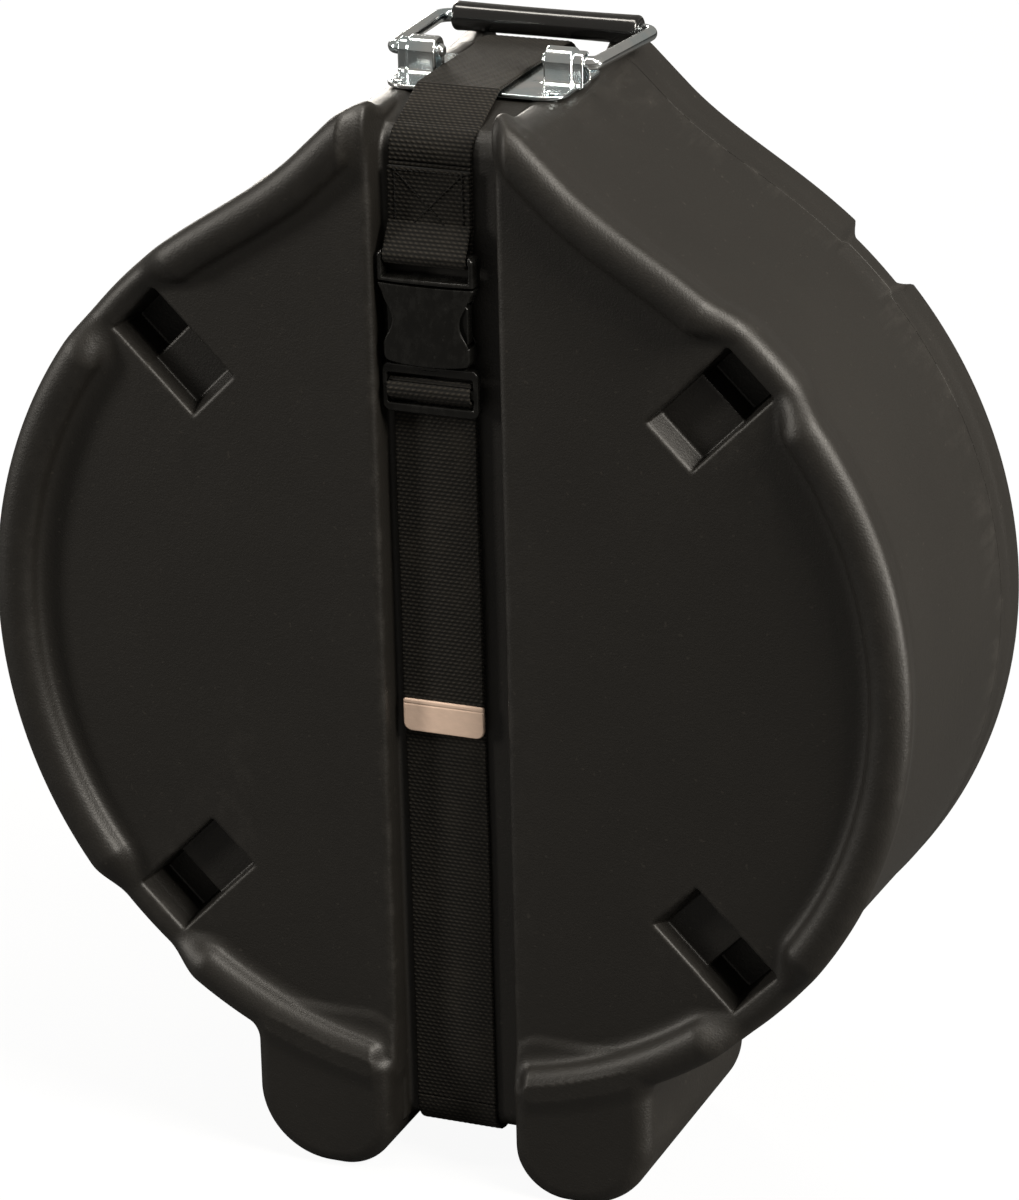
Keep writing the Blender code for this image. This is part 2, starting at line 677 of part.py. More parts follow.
def handle_plate():
    """Steel plate with an arched ear for the bail at each end."""
    outline = rounded_rectangle((-PLATE_HALF, -PLATE_DEPTH / 2), (PLATE_HALF, PLATE_DEPTH / 2),
                                PLATE_CORNER, 4)
    plate = flat_plate("handle_plate", outline, PLATE_LOW, PLATE_TOP, "zinc_plate")
    embed = PLATE_TOP - PLATE_THICKNESS / 2
    for side in (-1, 1):
        barrel = EAR_BORE + EAR_SHEET
        lip = barrel - EAR_LIP_DROP
        for start, end, radius in ((EAR_INNER, EAR_STEP, barrel), (EAR_STEP - FIT_GAP, EAR_OUTER, lip)):
            outline = ear_outline(radius, embed)
            combine(plate, side_prism("ear", outline, side * start, side * end, "zinc_plate"), "UNION")
        tunnel = side_prism("tunnel", ear_outline(EAR_BORE, PLATE_TOP),
                            side * (EAR_INNER - OVERRUN), side * (EAR_OUTER + OVERRUN))
        combine(plate, tunnel, "DIFFERENCE")
    return drill_rivet_holes(plate, PLATE_LOW - OVERRUN, PLATE_TOP + OVERRUN)


def rivets():
    """Four rivets with a domed head on the plate, each with a washer inside the shell."""
    inner_face = CENTRE_HEIGHT + CROWN_HEIGHT - CROWN_STEP - WALL - RIVET_PAD_DROP
    washer_top = inner_face - FIT_GAP
    washer_low = washer_top - WASHER_THICKNESS
    tail_top = washer_low - FIT_GAP
    head_low = PLATE_TOP + FIT_GAP
    tail = WASHER_RADIUS * RIVET_TAIL_SHARE
    bore = RIVET_SHANK + RIVET_CLEARANCE
    rivet = [(RIVET_SHANK, tail_top - RIVET_SHANK / 2), (tail, tail_top - RIVET_SHANK / 4),
             (tail, tail_top), (RIVET_SHANK, tail_top), (RIVET_SHANK, head_low)]
    rivet += [(RIVET_HEAD * out, head_low + RIVET_HEAD_HEIGHT * up) for out, up in RIVET_DOME_SHARES]
    for number, (x, y) in enumerate(rivet_places(), start=1):
        place = (x, y, 0)
        turned(f"handle_rivet_{number}", rivet, place, "zinc_plate", RIVET_SIDES)
        ring = ((WASHER_RADIUS, washer_low), (WASHER_RADIUS, washer_top))
        washer = turned(f"rivet_washer_{number}", ring, place, "zinc_plate", RIVET_SIDES)
        hole = turned("washer_hole", ((bore, washer_low - OVERRUN), (bore, washer_top + OVERRUN)),
                      place, None, RIVET_SIDES)
        combine(washer, hole, "DIFFERENCE")


def fillet_path(corners, radii, steps=4):
    """Polyline through corners with each inner corner rounded to its radius."""
    points = [Vector(corners[0])]
    for before, corner, after, radius in zip(corners, corners[1:], corners[2:], radii):
        corner = Vector(corner)
        toward = (Vector(before) - corner).normalized()
        away = (Vector(after) - corner).normalized()
        half_angle = toward.angle(away) / 2
        reach = radius / math.tan(half_angle)
        centre = corner + (toward + away).normalized() * (radius / math.sin(half_angle))
        start = (corner + toward * reach - centre).normalized()
        end = (corner + away * reach - centre).normalized()
        for step in range(steps + 1):
            points.append(centre + start.slerp(end, step / steps) * radius)
    points.append(Vector(corners[-1]))
    return points


def tube(name, points, radius, finish):
    """Round wire along points, with filled ends."""
    curve = bpy.data.curves.new(name, "CURVE")
    curve.dimensions = "3D"
    curve.bevel_depth = radius
    curve.bevel_resolution = 2
    curve.use_fill_caps = True
    spline = curve.splines.new("POLY")
    spline.points.add(len(points) - 1)
    for slot, point in zip(spline.points, points):
        slot.co = (*point, 1.0)
    made = bpy.data.objects.new(name, curve)
    bpy.context.scene.collection.objects.link(made)
    curve.materials.append(material(finish))
    return made


def bail():
    """Wire bail lying folded back, with its vinyl grip."""
    reach = PIVOT + Vector((0, BAIL_REACH, -BAIL_DROP))
    side = [(BAIL_TAIL, PIVOT.y, PIVOT.z), (BAIL_NECK, PIVOT.y, PIVOT.z), (BAIL_HALF, reach.y, reach.z)]
    corners = [(-x, y, z) for x, y, z in side] + list(reversed(side))
    neck = WIRE_RADIUS
    points = fillet_path(corners, (neck, BAIL_BEND, BAIL_BEND, neck), 5)
    wire = tube("bail_wire", [point - PIVOT for point in points], WIRE_RADIUS, "zinc_plate")
    wire.location = PIVOT
    core = WIRE_RADIUS + GRIP_BORE_CLEARANCE
    rim = GRIP_RADIUS - GRIP_EDGE
    profile = ((core, -GRIP_HALF), (rim, -GRIP_HALF), (GRIP_RADIUS, GRIP_EDGE - GRIP_HALF),
               (GRIP_RADIUS, GRIP_HALF - GRIP_EDGE), (rim, GRIP_HALF), (core, GRIP_HALF))
    bm = bmesh.new()
    rows = []
    for radius, x in profile:
        rows.append([bm.verts.new((x, reach.y + radius * math.cos(2 * math.pi * step / ROUND_SIDES),
                                   reach.z + radius * math.sin(2 * math.pi * step / ROUND_SIDES)))
                     for step in range(ROUND_SIDES)])
    for row, following in zip(rows, rows[1:] + rows[:1]):
        for step in range(ROUND_SIDES):
            after = (step + 1) % ROUND_SIDES
            bm.faces.new((row[step], row[after], following[after], following[step]))
    grip = make_object("bail_grip", bm, "grip_vinyl")
    set_origin(grip, PIVOT)


def ribbon(name, path, finish="webbing", offsets=None, width=STRAP_WIDTH, thickness=STRAP_THICKNESS):
    """Flat webbing along a path of (y, z) points, at an X offset for each point."""
    offsets = offsets or [-STRAP_OFFSET] * len(path)
    rings = []
    for index, (y, z) in enumerate(path):
        before = Vector(path[max(0, index - 1)])
        after = Vector(path[min(len(path) - 1, index + 1)])
        along = (after - before).normalized()
        across = Vector((-along.y, along.x)) * thickness / 2
        if 0 < index < len(path) - 1:
            one = (Vector((y, z)) - before).normalized()
            two = (after - Vector((y, z))).normalized()
            across = across / max(MITRE_SHARE, math.cos(one.angle(two) / 2))
        x = offsets[index]
        rings.append([Vector((x - width / 2, y + across.x, z + across.y)),
                      Vector((x + width / 2, y + across.x, z + across.y)),
                      Vector((x + width / 2, y - across.x, z - across.y)),
                      Vector((x - width / 2, y - across.x, z - across.y))])
    return loft(rings, name, finish)


def sampled(knots, steps):
    """Points of a smooth curve through (y, z) knots."""
    points = []
    padded = [knots[0]] + list(knots) + [knots[-1]]
    for first, second, third, fourth in zip(padded, padded[1:], padded[2:], padded[3:]):
        for step in range(steps):
            t = step / steps
            point = []
            for a, b, c, d in zip(first, second, third, fourth):
                point.append((2 * b + (c - a) * t + (2 * a - 5 * b + 4 * c - d) * t * t
                              + (3 * b - a - 3 * c + d) * t ** 3) / 2)
            points.append(tuple(point))
    points.append(tuple(knots[-1]))
    return points


FLOOR_LIFT = FIT_GAP + STRAP_THICKNESS / 2
FRONT_RUN = FRONT_Y + CHANNEL_DEPTH - FLOOR_LIFT
BAR_Y = FRONT_Y + BUCKLE_MIDDLE
REAR_RUN = -FRONT_RUN
BOTTOM_RUN = CENTRE_HEIGHT - CHANNEL_BOTTOM - FOOT_SIDE_STEP - FLOOR_LIFT
TOP_RUN = CENTRE_HEIGHT + CHANNEL_TOP + FLOOR_LIFT


def strap_top_run():
    """Strap from the front bend, over the plate between the ears and under the grip, to the rear."""
    bend = CHANNEL_BEND + FLOOR_LIFT
    corner = (FRONT_RUN + bend, TOP_RUN - bend)
    grip_y = BAIL_REACH
    under_grip = PIVOT.z - BAIL_DROP - GRIP_RADIUS - LAYER
    over_plate = PLATE_TOP + FLOOR_LIFT
    plate_edge = -PLATE_DEPTH / 2
    path = [(FRONT_RUN, CENTRE_HEIGHT + STRAP_TOP_JOIN)] + arc_points(corner, bend, 180, 100, 4)
    knots = (
        (plate_edge, over_plate + FIT_GAP),
        (PIVOT.y, over_plate + STRAP_THICKNESS * PLATE_FLOAT_SHARE),
        (grip_y / 2, over_plate + STRAP_THICKNESS * RAMP_FLOAT_SHARE),
        (grip_y - GRIP_RADIUS * GRIP_RAMP_SHARE, over_plate),
        (grip_y, under_grip),
        (REAR_RUN + CHANNEL_DEPTH - LAYER * 2, TOP_RUN),
        (REAR_RUN + CHANNEL_DEPTH / 2, TOP_RUN - CHANNEL_DEPTH * REAR_FALL_SHARE),
        (REAR_RUN + FIT_GAP, CENTRE_HEIGHT + STRAP_REAR_JOIN + OVERRUN * 2),
        (REAR_RUN, CENTRE_HEIGHT + STRAP_REAR_JOIN),
    )
    path += sampled(knots, 3)
    slide = STRAP_REAR_OFFSET - STRAP_OFFSET
    offsets = []
    for y, z in path:
        share = 1 - fade(y, PIVOT.y + PLATE_DEPTH / 2, REAR_RUN - PIVOT.y - PLATE_DEPTH / 2)
        offsets.append(-STRAP_OFFSET - slide * share)
    return ribbon("strap_top_run", path, offsets=offsets)


def strap_back_run():
    """Strap down the rear channel."""
    low = CENTRE_HEIGHT - STRAP_BOTTOM_JOIN
    path = [(REAR_RUN, CENTRE_HEIGHT + STRAP_REAR_JOIN - FIT_GAP), (REAR_RUN, low)]
    offsets = [-STRAP_REAR_OFFSET, -STRAP_OFFSET]
    return ribbon("strap_back_run", path, offsets=offsets)


def strap_bottom_run():
    """Strap from the rear channel down round the back of the feet and forward between them."""
    start = (REAR_RUN, CENTRE_HEIGHT - STRAP_BOTTOM_JOIN - FIT_GAP)
    kink = (FRONT_Y + FOOT_DEPTH + LAYER, BOTTOM_RUN)
    front = (FRONT_RUN, BOTTOM_RUN)
    corners = [(0, *start), (0, REAR_RUN, start[1] - OVERRUN), (0, *kink), (0, *front),
               (0, FRONT_RUN, BOTTOM_RUN + CHANNEL_BEND + OVERRUN)]
    bend = CHANNEL_BEND + FLOOR_LIFT
    points = fillet_path(corners, (CHANNEL_BEND / 4, CHANNEL_BEND / 2, bend), 4)
    return ribbon("strap_bottom_run", [(point.y, point.z) for point in points])


def bar_loop(bar_y, bar_z, start, end, steps=5):
    """Turn of webbing round a bar of the buckle, clear of the bar's corners."""
    radius = math.hypot(BAR_HEIGHT, BAR_BACK - BAR_FRONT) / 2 + FIT_GAP + STRAP_THICKNESS / 2
    return arc_points((bar_y, bar_z), radius, start, end, steps)


def strap_front_upper():
    """Strap from the top bend to the housing's bar, round it, and sewn back on itself."""
    bar_z = CENTRE_HEIGHT + BUCKLE_TOP - BAR_HEIGHT / 2
    settle = bar_z + CHANNEL_DEPTH
    path = [(FRONT_RUN, CENTRE_HEIGHT + STRAP_TOP_JOIN - FIT_GAP), (FRONT_RUN, settle)]
    path += bar_loop(BAR_Y, bar_z, 0, -200)
    path += [(FRONT_RUN - LAYER, settle), (FRONT_RUN - LAYER, CENTRE_HEIGHT + STRAP_FOLD_TOP)]
    return ribbon("strap_front_upper", path)


def ladder_bar():
    """Height of the plug's crossbar that the webbing is threaded over."""
    return CENTRE_HEIGHT + BUCKLE_BOTTOM + BAR_HEIGHT * 1.5 + SLOT_HEIGHT


def strap_front_lower():
    """Strap up the front channel and through the plug's upper slot."""
    bar_z = ladder_bar()
    path = [(FRONT_RUN, BOTTOM_RUN + CHANNEL_BEND + OVERRUN + FIT_GAP), (FRONT_RUN, bar_z - BAR_HEIGHT)]
    path += bar_loop(BAR_Y, bar_z, 10, 120)
    return ribbon("strap_front_lower", path)


def strap_tail():
    """Free end of the strap: off the crossbar, behind the lower bar and down the front."""
    bar_z = ladder_bar()
    join = 130
    low_bar = CENTRE_HEIGHT + BUCKLE_BOTTOM + BAR_HEIGHT / 2
    path = bar_loop(BAR_Y, bar_z, join, 240)
    path += [(FRONT_RUN - LAYER * TAIL_SWING_SHARE, low_bar + BAR_HEIGHT * TAIL_BAR_SHARE),
             (FRONT_RUN - LAYER, low_bar - BAR_HEIGHT), (FRONT_RUN - LAYER, CENTRE_HEIGHT - TAIL_END)]
    return ribbon("strap_tail", path)


def strap_tip():
    """Moulded cap on the strap's free end."""
    high = CENTRE_HEIGHT - TAIL_END - FIT_GAP
    low = high - TIP_LENGTH
    middle = -STRAP_OFFSET
    half = STRAP_WIDTH / 2
    outline = [(middle + half, high), (middle - half, high)]
    outline += arc_points((middle - half + TIP_CORNER, low + TIP_CORNER), TIP_CORNER, 180, 270, 4)
    outline += arc_points((middle + half - TIP_CORNER, low + TIP_CORNER), TIP_CORNER, 270, 360, 4)
    back = FRONT_RUN - STRAP_THICKNESS / 2 - FIT_GAP
    return prism("strap_tip", outline, back - TIP_THICKNESS, back, "tip_plastic")


def strap_x(x):
    """World X of a distance from the strap's middle."""
    return x - STRAP_OFFSET


def buckle_box(name, half, low, high, front, back, finish=None, middle=0.0):
    """Box of the buckle, by its half width, heights above the face's middle and depths."""
    return box(name, (strap_x(middle - half), FRONT_Y + front, CENTRE_HEIGHT + low),
               (strap_x(middle + half), FRONT_Y + back, CENTRE_HEIGHT + high), finish)


def buckle_housing():
    """Socket half of the buckle: hollow body with curved side windows and a bar for the strap."""
    shoulder = BUCKLE_SHOULDER
    outline = []
    half = BUCKLE_BODY_HALF
    window_middle = (WINDOW_LOW + WINDOW_HIGH) / 2
    for side in (1, -1):
        run = [(half, BUCKLE_MOUTH), (half, WINDOW_LOW)]
        for step in range(1, ARC_STEPS):
            turn = math.pi * step / ARC_STEPS
            run.append((half - WINDOW_BITE * math.sin(turn),
                        window_middle - (WINDOW_HIGH - WINDOW_LOW) / 2 * math.cos(turn)))
        run += [(half, WINDOW_HIGH), (BUCKLE_HALF, shoulder)]
        run += arc_points((BUCKLE_HALF - BUCKLE_CORNER, BUCKLE_TOP - BUCKLE_CORNER),
                          BUCKLE_CORNER, 0, 90, 3)
        run = [(strap_x(side * x), CENTRE_HEIGHT + z) for x, z in run]
        outline += run if side == 1 else list(reversed(run))
    housing = prism("buckle_housing", outline, FRONT_Y + BUCKLE_FRONT, FRONT_Y + BUCKLE_BACK,
                    "buckle_plastic")
    cavity = buckle_box("cavity", CAVITY_HALF, BUCKLE_MOUTH - OVERRUN, CAVITY_TOP,
                        BUCKLE_FRONT + BUCKLE_SKIN, BUCKLE_BACK - BUCKLE_SKIN)
    combine(housing, cavity, "DIFFERENCE")
    windows = buckle_box("windows", BUCKLE_HALF + OVERRUN, WINDOW_LOW, WINDOW_HIGH,
                         BUCKLE_FRONT + BUCKLE_SKIN, BUCKLE_BACK - BUCKLE_SKIN)
    combine(housing, windows, "DIFFERENCE")
    slot_high = BUCKLE_TOP - BAR_HEIGHT
    slot = buckle_box("slot", SLOT_HALF, slot_high - HOUSING_SLOT, slot_high,
                      BUCKLE_FRONT - OVERRUN, BUCKLE_BACK + OVERRUN)
    combine(housing, slot, "DIFFERENCE")
    for front, back in ((BUCKLE_FRONT - OVERRUN, BAR_FRONT), (BAR_BACK, BUCKLE_BACK + OVERRUN)):
        trim = buckle_box("bar_trim", SLOT_HALF, slot_high - FIT_GAP, BUCKLE_TOP + OVERRUN, front, back)
        combine(housing, trim, "DIFFERENCE")
    return set_origin(housing, Vector((strap_x(0), BAR_Y, CENTRE_HEIGHT + BUCKLE_MOUTH)))


def plug_depths():
    """Front and back depth of the plug's flat parts, in the middle of the housing."""
    return BUCKLE_MIDDLE - PLUG_THICKNESS / 2, BUCKLE_MIDDLE + PLUG_THICKNESS / 2


def buckle_plug():
    """Plug half of the buckle: strap frame with two slots, and the tongue that guides it."""
    front, back = BAR_FRONT, BAR_BACK
    low, high = BUCKLE_BOTTOM, BUCKLE_MOUTH - FIT_GAP
    corners = rounded_rectangle((strap_x(-BUCKLE_HALF), CENTRE_HEIGHT + low),
                                (strap_x(BUCKLE_HALF), CENTRE_HEIGHT + high), BUCKLE_CORNER, 3)
    plug = prism("buckle_plug", corners, FRONT_Y + front, FRONT_Y + back, "buckle_plastic")
    tongue_front, tongue_back = plug_depths()
    tongue = buckle_box("tongue", TONGUE_HALF, high - BAR_HEIGHT / 2, TONGUE_TOP, tongue_front, tongue_back)
    combine(plug, tongue, "UNION")
    slot_low = low + BAR_HEIGHT
    for level in (slot_low, slot_low + SLOT_HEIGHT + BAR_HEIGHT):
        slot = buckle_box("slot", SLOT_HALF, level, level + SLOT_HEIGHT, front - OVERRUN, back + OVERRUN)
        combine(plug, slot, "DIFFERENCE")
    return plug


def buckle_prong(side):
    """Spring arm of the plug, hinged at its root, with the latching head in the window."""
    root = BUCKLE_MOUTH
    head_face = PRONG_HEAD_REACH
    arm_in = PRONG_ROOT_X - PRONG_WIDTH / 2
    arm_out = PRONG_ROOT_X + PRONG_WIDTH / 2
    shape = [
        (arm_in, root), (arm_out, root), (arm_out + PRONG_WIDTH / 2, PRONG_HEAD_LOW - PRONG_WIDTH / 2),
        (head_face, PRONG_HEAD_LOW + PRONG_WIDTH / 4), (head_face, PRONG_HEAD_HIGH - PRONG_WIDTH / 2),
        (head_face - PRONG_WIDTH / 2, PRONG_HEAD_HIGH),
        (arm_out, PRONG_HEAD_HIGH + PRONG_WIDTH / 2),
        (arm_in + PRONG_WIDTH / 2, PRONG_HEAD_HIGH),
        (arm_in + PRONG_WIDTH / 2, PRONG_HEAD_LOW),
    ]
    outline = [(strap_x(side * x), CENTRE_HEIGHT + z) for x, z in shape]
    front, back = plug_depths()
    name = "buckle_prong_right" if side > 0 else "buckle_prong_left"
    prong = prism(name, outline, FRONT_Y + front, FRONT_Y + back, "buckle_plastic")
    hinge = Vector((strap_x(side * PRONG_ROOT_X), FRONT_Y + (front + back) / 2, CENTRE_HEIGHT + root))
    return set_origin(prong, hinge)


def foam_pad(side, rear):
    """Half-moon foam pad on the inside of a face, beside the channel."""
    chord = CHANNEL_HALF + WALL + PAD_SIDE_GAP
    limit = math.degrees(math.asin(chord / PAD_RADIUS))
    arc = arc_points((0, CENTRE_HEIGHT), PAD_RADIUS, limit - 90, 90 - limit, PAD_STEPS)
    outline = [(side * x, z) for x, z in arc]
    near = face_y(WALL + FIT_GAP, rear)
    far = face_y(WALL + FIT_GAP + PAD_THICKNESS, rear)
    place = "rear" if rear else "front"
    hand = "right" if side > 0 else "left"
    return prism(f"{place}_foam_{hand}", outline, near, far, "foam")


def wall_liner(side):
    """Foam strip round the inside of the side wall."""
    rings = []
    steps = PAD_STEPS
    for step in range(steps + 1):
        degrees = LINER_TOP_DEGREES + (LINER_LOW_DEGREES - LINER_TOP_DEGREES) * step / steps
        angle = side * math.radians(degrees)
        near = wall_radius(angle, WALL + FIT_GAP * 2, LINER_FRONT)
        far = wall_radius(angle, WALL + FIT_GAP * 2, LINER_BACK)
        rings.append([polar_point(angle, near, FRONT_Y + LINER_FRONT),
                      polar_point(angle, far, FRONT_Y + LINER_BACK),
                      polar_point(angle, far - LINER_THICKNESS, FRONT_Y + LINER_BACK),
                      polar_point(angle, near - LINER_THICKNESS, FRONT_Y + LINER_FRONT)])
    return loft(rings, "wall_liner_right" if side > 0 else "wall_liner_left", "foam")


def build():
    """Make every piece of the case."""
    clear_scene()
    front_shell()
    rear_shell()
    handle_plate()
    rivets()
    bail()
    strap_front_upper()
    strap_top_run()
    strap_back_run()
    strap_bottom_run()
    strap_front_lower()
    strap_tail()
    strap_tip()
    buckle_housing()
    buckle_plug()
    for side in (-1, 1):
        buckle_prong(side)
        wall_liner(side)
        foam_pad(side, False)
        foam_pad(side, True)


build()
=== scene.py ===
"""Looks of a round drum case that stands on edge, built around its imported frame.

The two moulded shells, the handle and the buckle are meshed from signed distance fields, so that
their walls, beads and edges flow into each other as a moulding's do. The webbing is swept along its
path and woven by Geometry Nodes. Lengths are metres, +Z is up and the front face looks along -Y.
"""
import logging
import math
from dataclasses import dataclass
from enum import Enum
from typing import Any, Callable, Sequence

import bpy
import numpy as np
from mathutils import Matrix, Vector


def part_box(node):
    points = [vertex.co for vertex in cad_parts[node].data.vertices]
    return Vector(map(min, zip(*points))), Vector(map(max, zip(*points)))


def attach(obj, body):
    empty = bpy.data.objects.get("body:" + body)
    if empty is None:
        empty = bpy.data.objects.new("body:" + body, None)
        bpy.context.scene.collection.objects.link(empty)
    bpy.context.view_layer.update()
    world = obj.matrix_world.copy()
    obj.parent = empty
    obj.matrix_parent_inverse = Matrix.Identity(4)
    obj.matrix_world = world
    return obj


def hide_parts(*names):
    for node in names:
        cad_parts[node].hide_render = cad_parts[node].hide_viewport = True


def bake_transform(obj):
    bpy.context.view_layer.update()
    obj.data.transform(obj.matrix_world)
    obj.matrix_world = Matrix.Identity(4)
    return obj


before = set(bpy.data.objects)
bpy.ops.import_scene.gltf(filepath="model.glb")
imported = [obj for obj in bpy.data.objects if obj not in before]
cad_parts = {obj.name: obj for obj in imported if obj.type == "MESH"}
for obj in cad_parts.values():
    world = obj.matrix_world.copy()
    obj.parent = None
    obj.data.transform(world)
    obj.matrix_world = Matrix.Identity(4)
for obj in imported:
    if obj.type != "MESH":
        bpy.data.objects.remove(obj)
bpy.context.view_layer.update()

LOG = logging.getLogger("drum_case")
QUICK_SHELL, FULL_SHELL = 0.002, 0.00125
QUICK_FINE, FULL_FINE = 0.0006, 0.0004
QUICK_FOAM, FULL_FOAM = 0.003, 0.002
Array = np.ndarray
Field = Callable[[Array, Array, Array], Array]
Colour = tuple[float, float, float]
Pair = tuple[float, float]
Profile = tuple[Pair, ...]
Object = bpy.types.Object
Tree = bpy.types.NodeTree


class Body(str, Enum):
    """Bodies of the frame that pieces ride on."""

    FRONT = "root"
    REAR = "rear_half"
    BAIL = "bail"
    SOCKET = "buckle_socket"
    LEFT_PRONG = "left_prong"
    RIGHT_PRONG = "right_prong"


class Slot(str, Enum):
    """Material slots of the record."""

    SHELL = "shell_plastic"
    ZINC = "zinc_plate"
    GRIP = "grip_vinyl"
    WEBBING = "webbing"
    BUCKLE = "buckle_plastic"
    TIP = "tip_plastic"
    FOAM = "foam"


Palette = dict[Slot, bpy.types.Material]


class Wire:
    """Output of a node that adds Math nodes when it stands in an expression."""

    def __init__(self, canvas: "Canvas", socket: bpy.types.NodeSocket) -> None:
        """Keep the canvas that new nodes go on.

        Args:
            canvas: Node tree wrapper that owns the socket.
            socket: Output socket that this wire stands for.
        """
        self.canvas = canvas
        self.socket = socket

    def maths(self, operation: str, *terms: Any) -> "Wire":
        """Add one Math node.

        Args:
            operation: Name of the Math node's operation.
            terms: Wires or numbers for its sockets, in order.

        Returns:
            The node's output.
        """
        return self.canvas.out("ShaderNodeMath", {"operation": operation}, dict(enumerate(terms)))

    def __add__(self, other: Any) -> "Wire":
        """Sum of this wire and other."""
        return self.maths("ADD", self, other)

    def __radd__(self, other: Any) -> "Wire":
        """Sum of other and this wire."""
        return self.maths("ADD", other, self)

    def __sub__(self, other: Any) -> "Wire":
        """This wire less other."""
        return self.maths("SUBTRACT", self, other)

    def __rsub__(self, other: Any) -> "Wire":
        """Other less this wire."""
        return self.maths("SUBTRACT", other, self)

    def __mul__(self, other: Any) -> "Wire":
        """Product of this wire and other."""
        return self.maths("MULTIPLY", self, other)

    def __rmul__(self, other: Any) -> "Wire":
        """Product of other and this wire."""
        return self.maths("MULTIPLY", other, self)

    def __truediv__(self, other: Any) -> "Wire":
        """This wire over other."""
        return self.maths("DIVIDE", self, other)

    def __pow__(self, power: Any) -> "Wire":
        """This wire raised to a power."""
        return self.maths("POWER", self, power)

    def cosine(self) -> "Wire":
        """Cosine of this wire, in radians."""
        return self.maths("COSINE", self)

    def sine(self) -> "Wire":
        """Sine of this wire, in radians."""
        return self.maths("SINE", self)

    def sign(self) -> "Wire":
        """-1, 0 or 1 by the sign of this wire."""
        return self.maths("SIGN", self)

    def fraction(self) -> "Wire":
        """What this wire has past its whole part."""
        return self.maths("FRACT", self)

    def between(self, low: float, high: float) -> "Wire":
        """Share from 0 at low to 1 at high, clamped and eased."""
        settings = {"interpolation_type": "SMOOTHSTEP"}
        return self.canvas.out("ShaderNodeMapRange", settings, {0: self, 1: low, 2: high})


class Canvas:
    """Node tree with one method that adds nodes of any type."""

    def __init__(self, tree: Tree) -> None:
        """Wrap a node tree and clear it.

        Args:
            tree: Shader or geometry node tree to build in.
        """
        self.tree = tree
        self.tree.nodes.clear()

    def add(self, kind: str, settings: dict[str, Any] | None = None,
            sockets: dict[Any, Any] | None = None) -> bpy.types.Node:
        """Add one node.

        Args:
            kind: The node's type name.
            settings: Its properties; "stops" holds a ramp's (place, colour) pairs.
            sockets: Value or Wire for each input, by name or number.

        Returns:
            The new node.
        """
        node = self.tree.nodes.new(kind)
        for name, value in (settings or {}).items():
            if name == "stops":
                ramp = node.color_ramp
                while len(ramp.elements) < len(value):
                    ramp.elements.new(0.5)
                for element, (place, colour) in zip(ramp.elements, value):
                    element.position = place
                    element.color = (*colour, 1.0)
            else:
                setattr(node, name, value)
        for key, value in (sockets or {}).items():
            if isinstance(value, Wire):
                self.tree.links.new(value.socket, node.inputs[key])
            else:
                node.inputs[key].default_value = value
        return node

    def out(self, kind: str, settings: dict[str, Any] | None = None,
            sockets: dict[Any, Any] | None = None, output: Any = 0) -> Wire:
        """Add one node and return one of its outputs as a wire."""
        return Wire(self, self.add(kind, settings, sockets).outputs[output])

    def mix(self, factor: Any, first: Any, second: Any) -> Wire:
        """Mix two colours.

        Args:
            factor: Share of the second colour.
            first: Colour or wire at factor 0.
            second: Colour or wire at factor 1.

        Returns:
            The mixed colour.
        """
        ends = [(*c, 1.0) if isinstance(c, tuple) else c for c in (first, second)]
        return self.out("ShaderNodeMix", {"data_type": "RGBA"},
                        {0: factor, 6: ends[0], 7: ends[1]}, output=2)

    def place(self) -> Wire:
        """Object coordinates of the piece."""
        return self.out("ShaderNodeTexCoord", output="Object")

    def attribute(self, name: str) -> Wire:
        """Number stored on the piece's points."""
        return self.out("ShaderNodeAttribute", {"attribute_name": name}, output="Fac")

    def noise(self, vector: Wire, pitch: float, detail: float = 3.0, rough: float = 0.5) -> Wire:
        """Noise from 0 to 1 with lumps about one pitch across."""
        return self.out("ShaderNodeTexNoise", {},
                        {"Vector": vector, "Scale": 1.0 / pitch, "Detail": detail, "Roughness": rough})

    def stretched(self, vector: Wire, scale: Colour) -> Wire:
        """Coordinates scaled by a vector."""
        return self.out("ShaderNodeVectorMath", {"operation": "MULTIPLY"}, {0: vector, 1: scale})

    def bump(self, height: Wire, depth: float, below: Wire | None = None) -> Wire:
        """Normal bent by a height.

        Args:
            height: Relief from 0 to 1.
            depth: Depth of the relief in metres.
            below: Normal that this relief lies on.

        Returns:
            The bent normal.
        """
        sockets: dict[Any, Any] = {"Height": height, "Distance": depth, "Strength": 1.0}
        if below is not None:
            sockets["Normal"] = below
        return self.out("ShaderNodeBump", {}, sockets)


def finish_canvas(name: str) -> tuple[bpy.types.Material, Canvas]:
    """Return a new material and the canvas of its node tree.

    Args:
        name: Its name.

    Returns:
        The material and its canvas.
    """
    made = bpy.data.materials.new(name)
    made.use_nodes = True
    return made, Canvas(made.node_tree)


def principled(canvas: Canvas, sockets: dict[Any, Any]) -> None:
    """Close a material with a Principled BSDF.

    Args:
        canvas: The material's canvas.
        sockets: Values and wires of the shader, by socket name.
    """
    shader = canvas.out("ShaderNodeBsdfPrincipled", {}, sockets)
    canvas.add("ShaderNodeOutputMaterial", {}, {"Surface": shader})


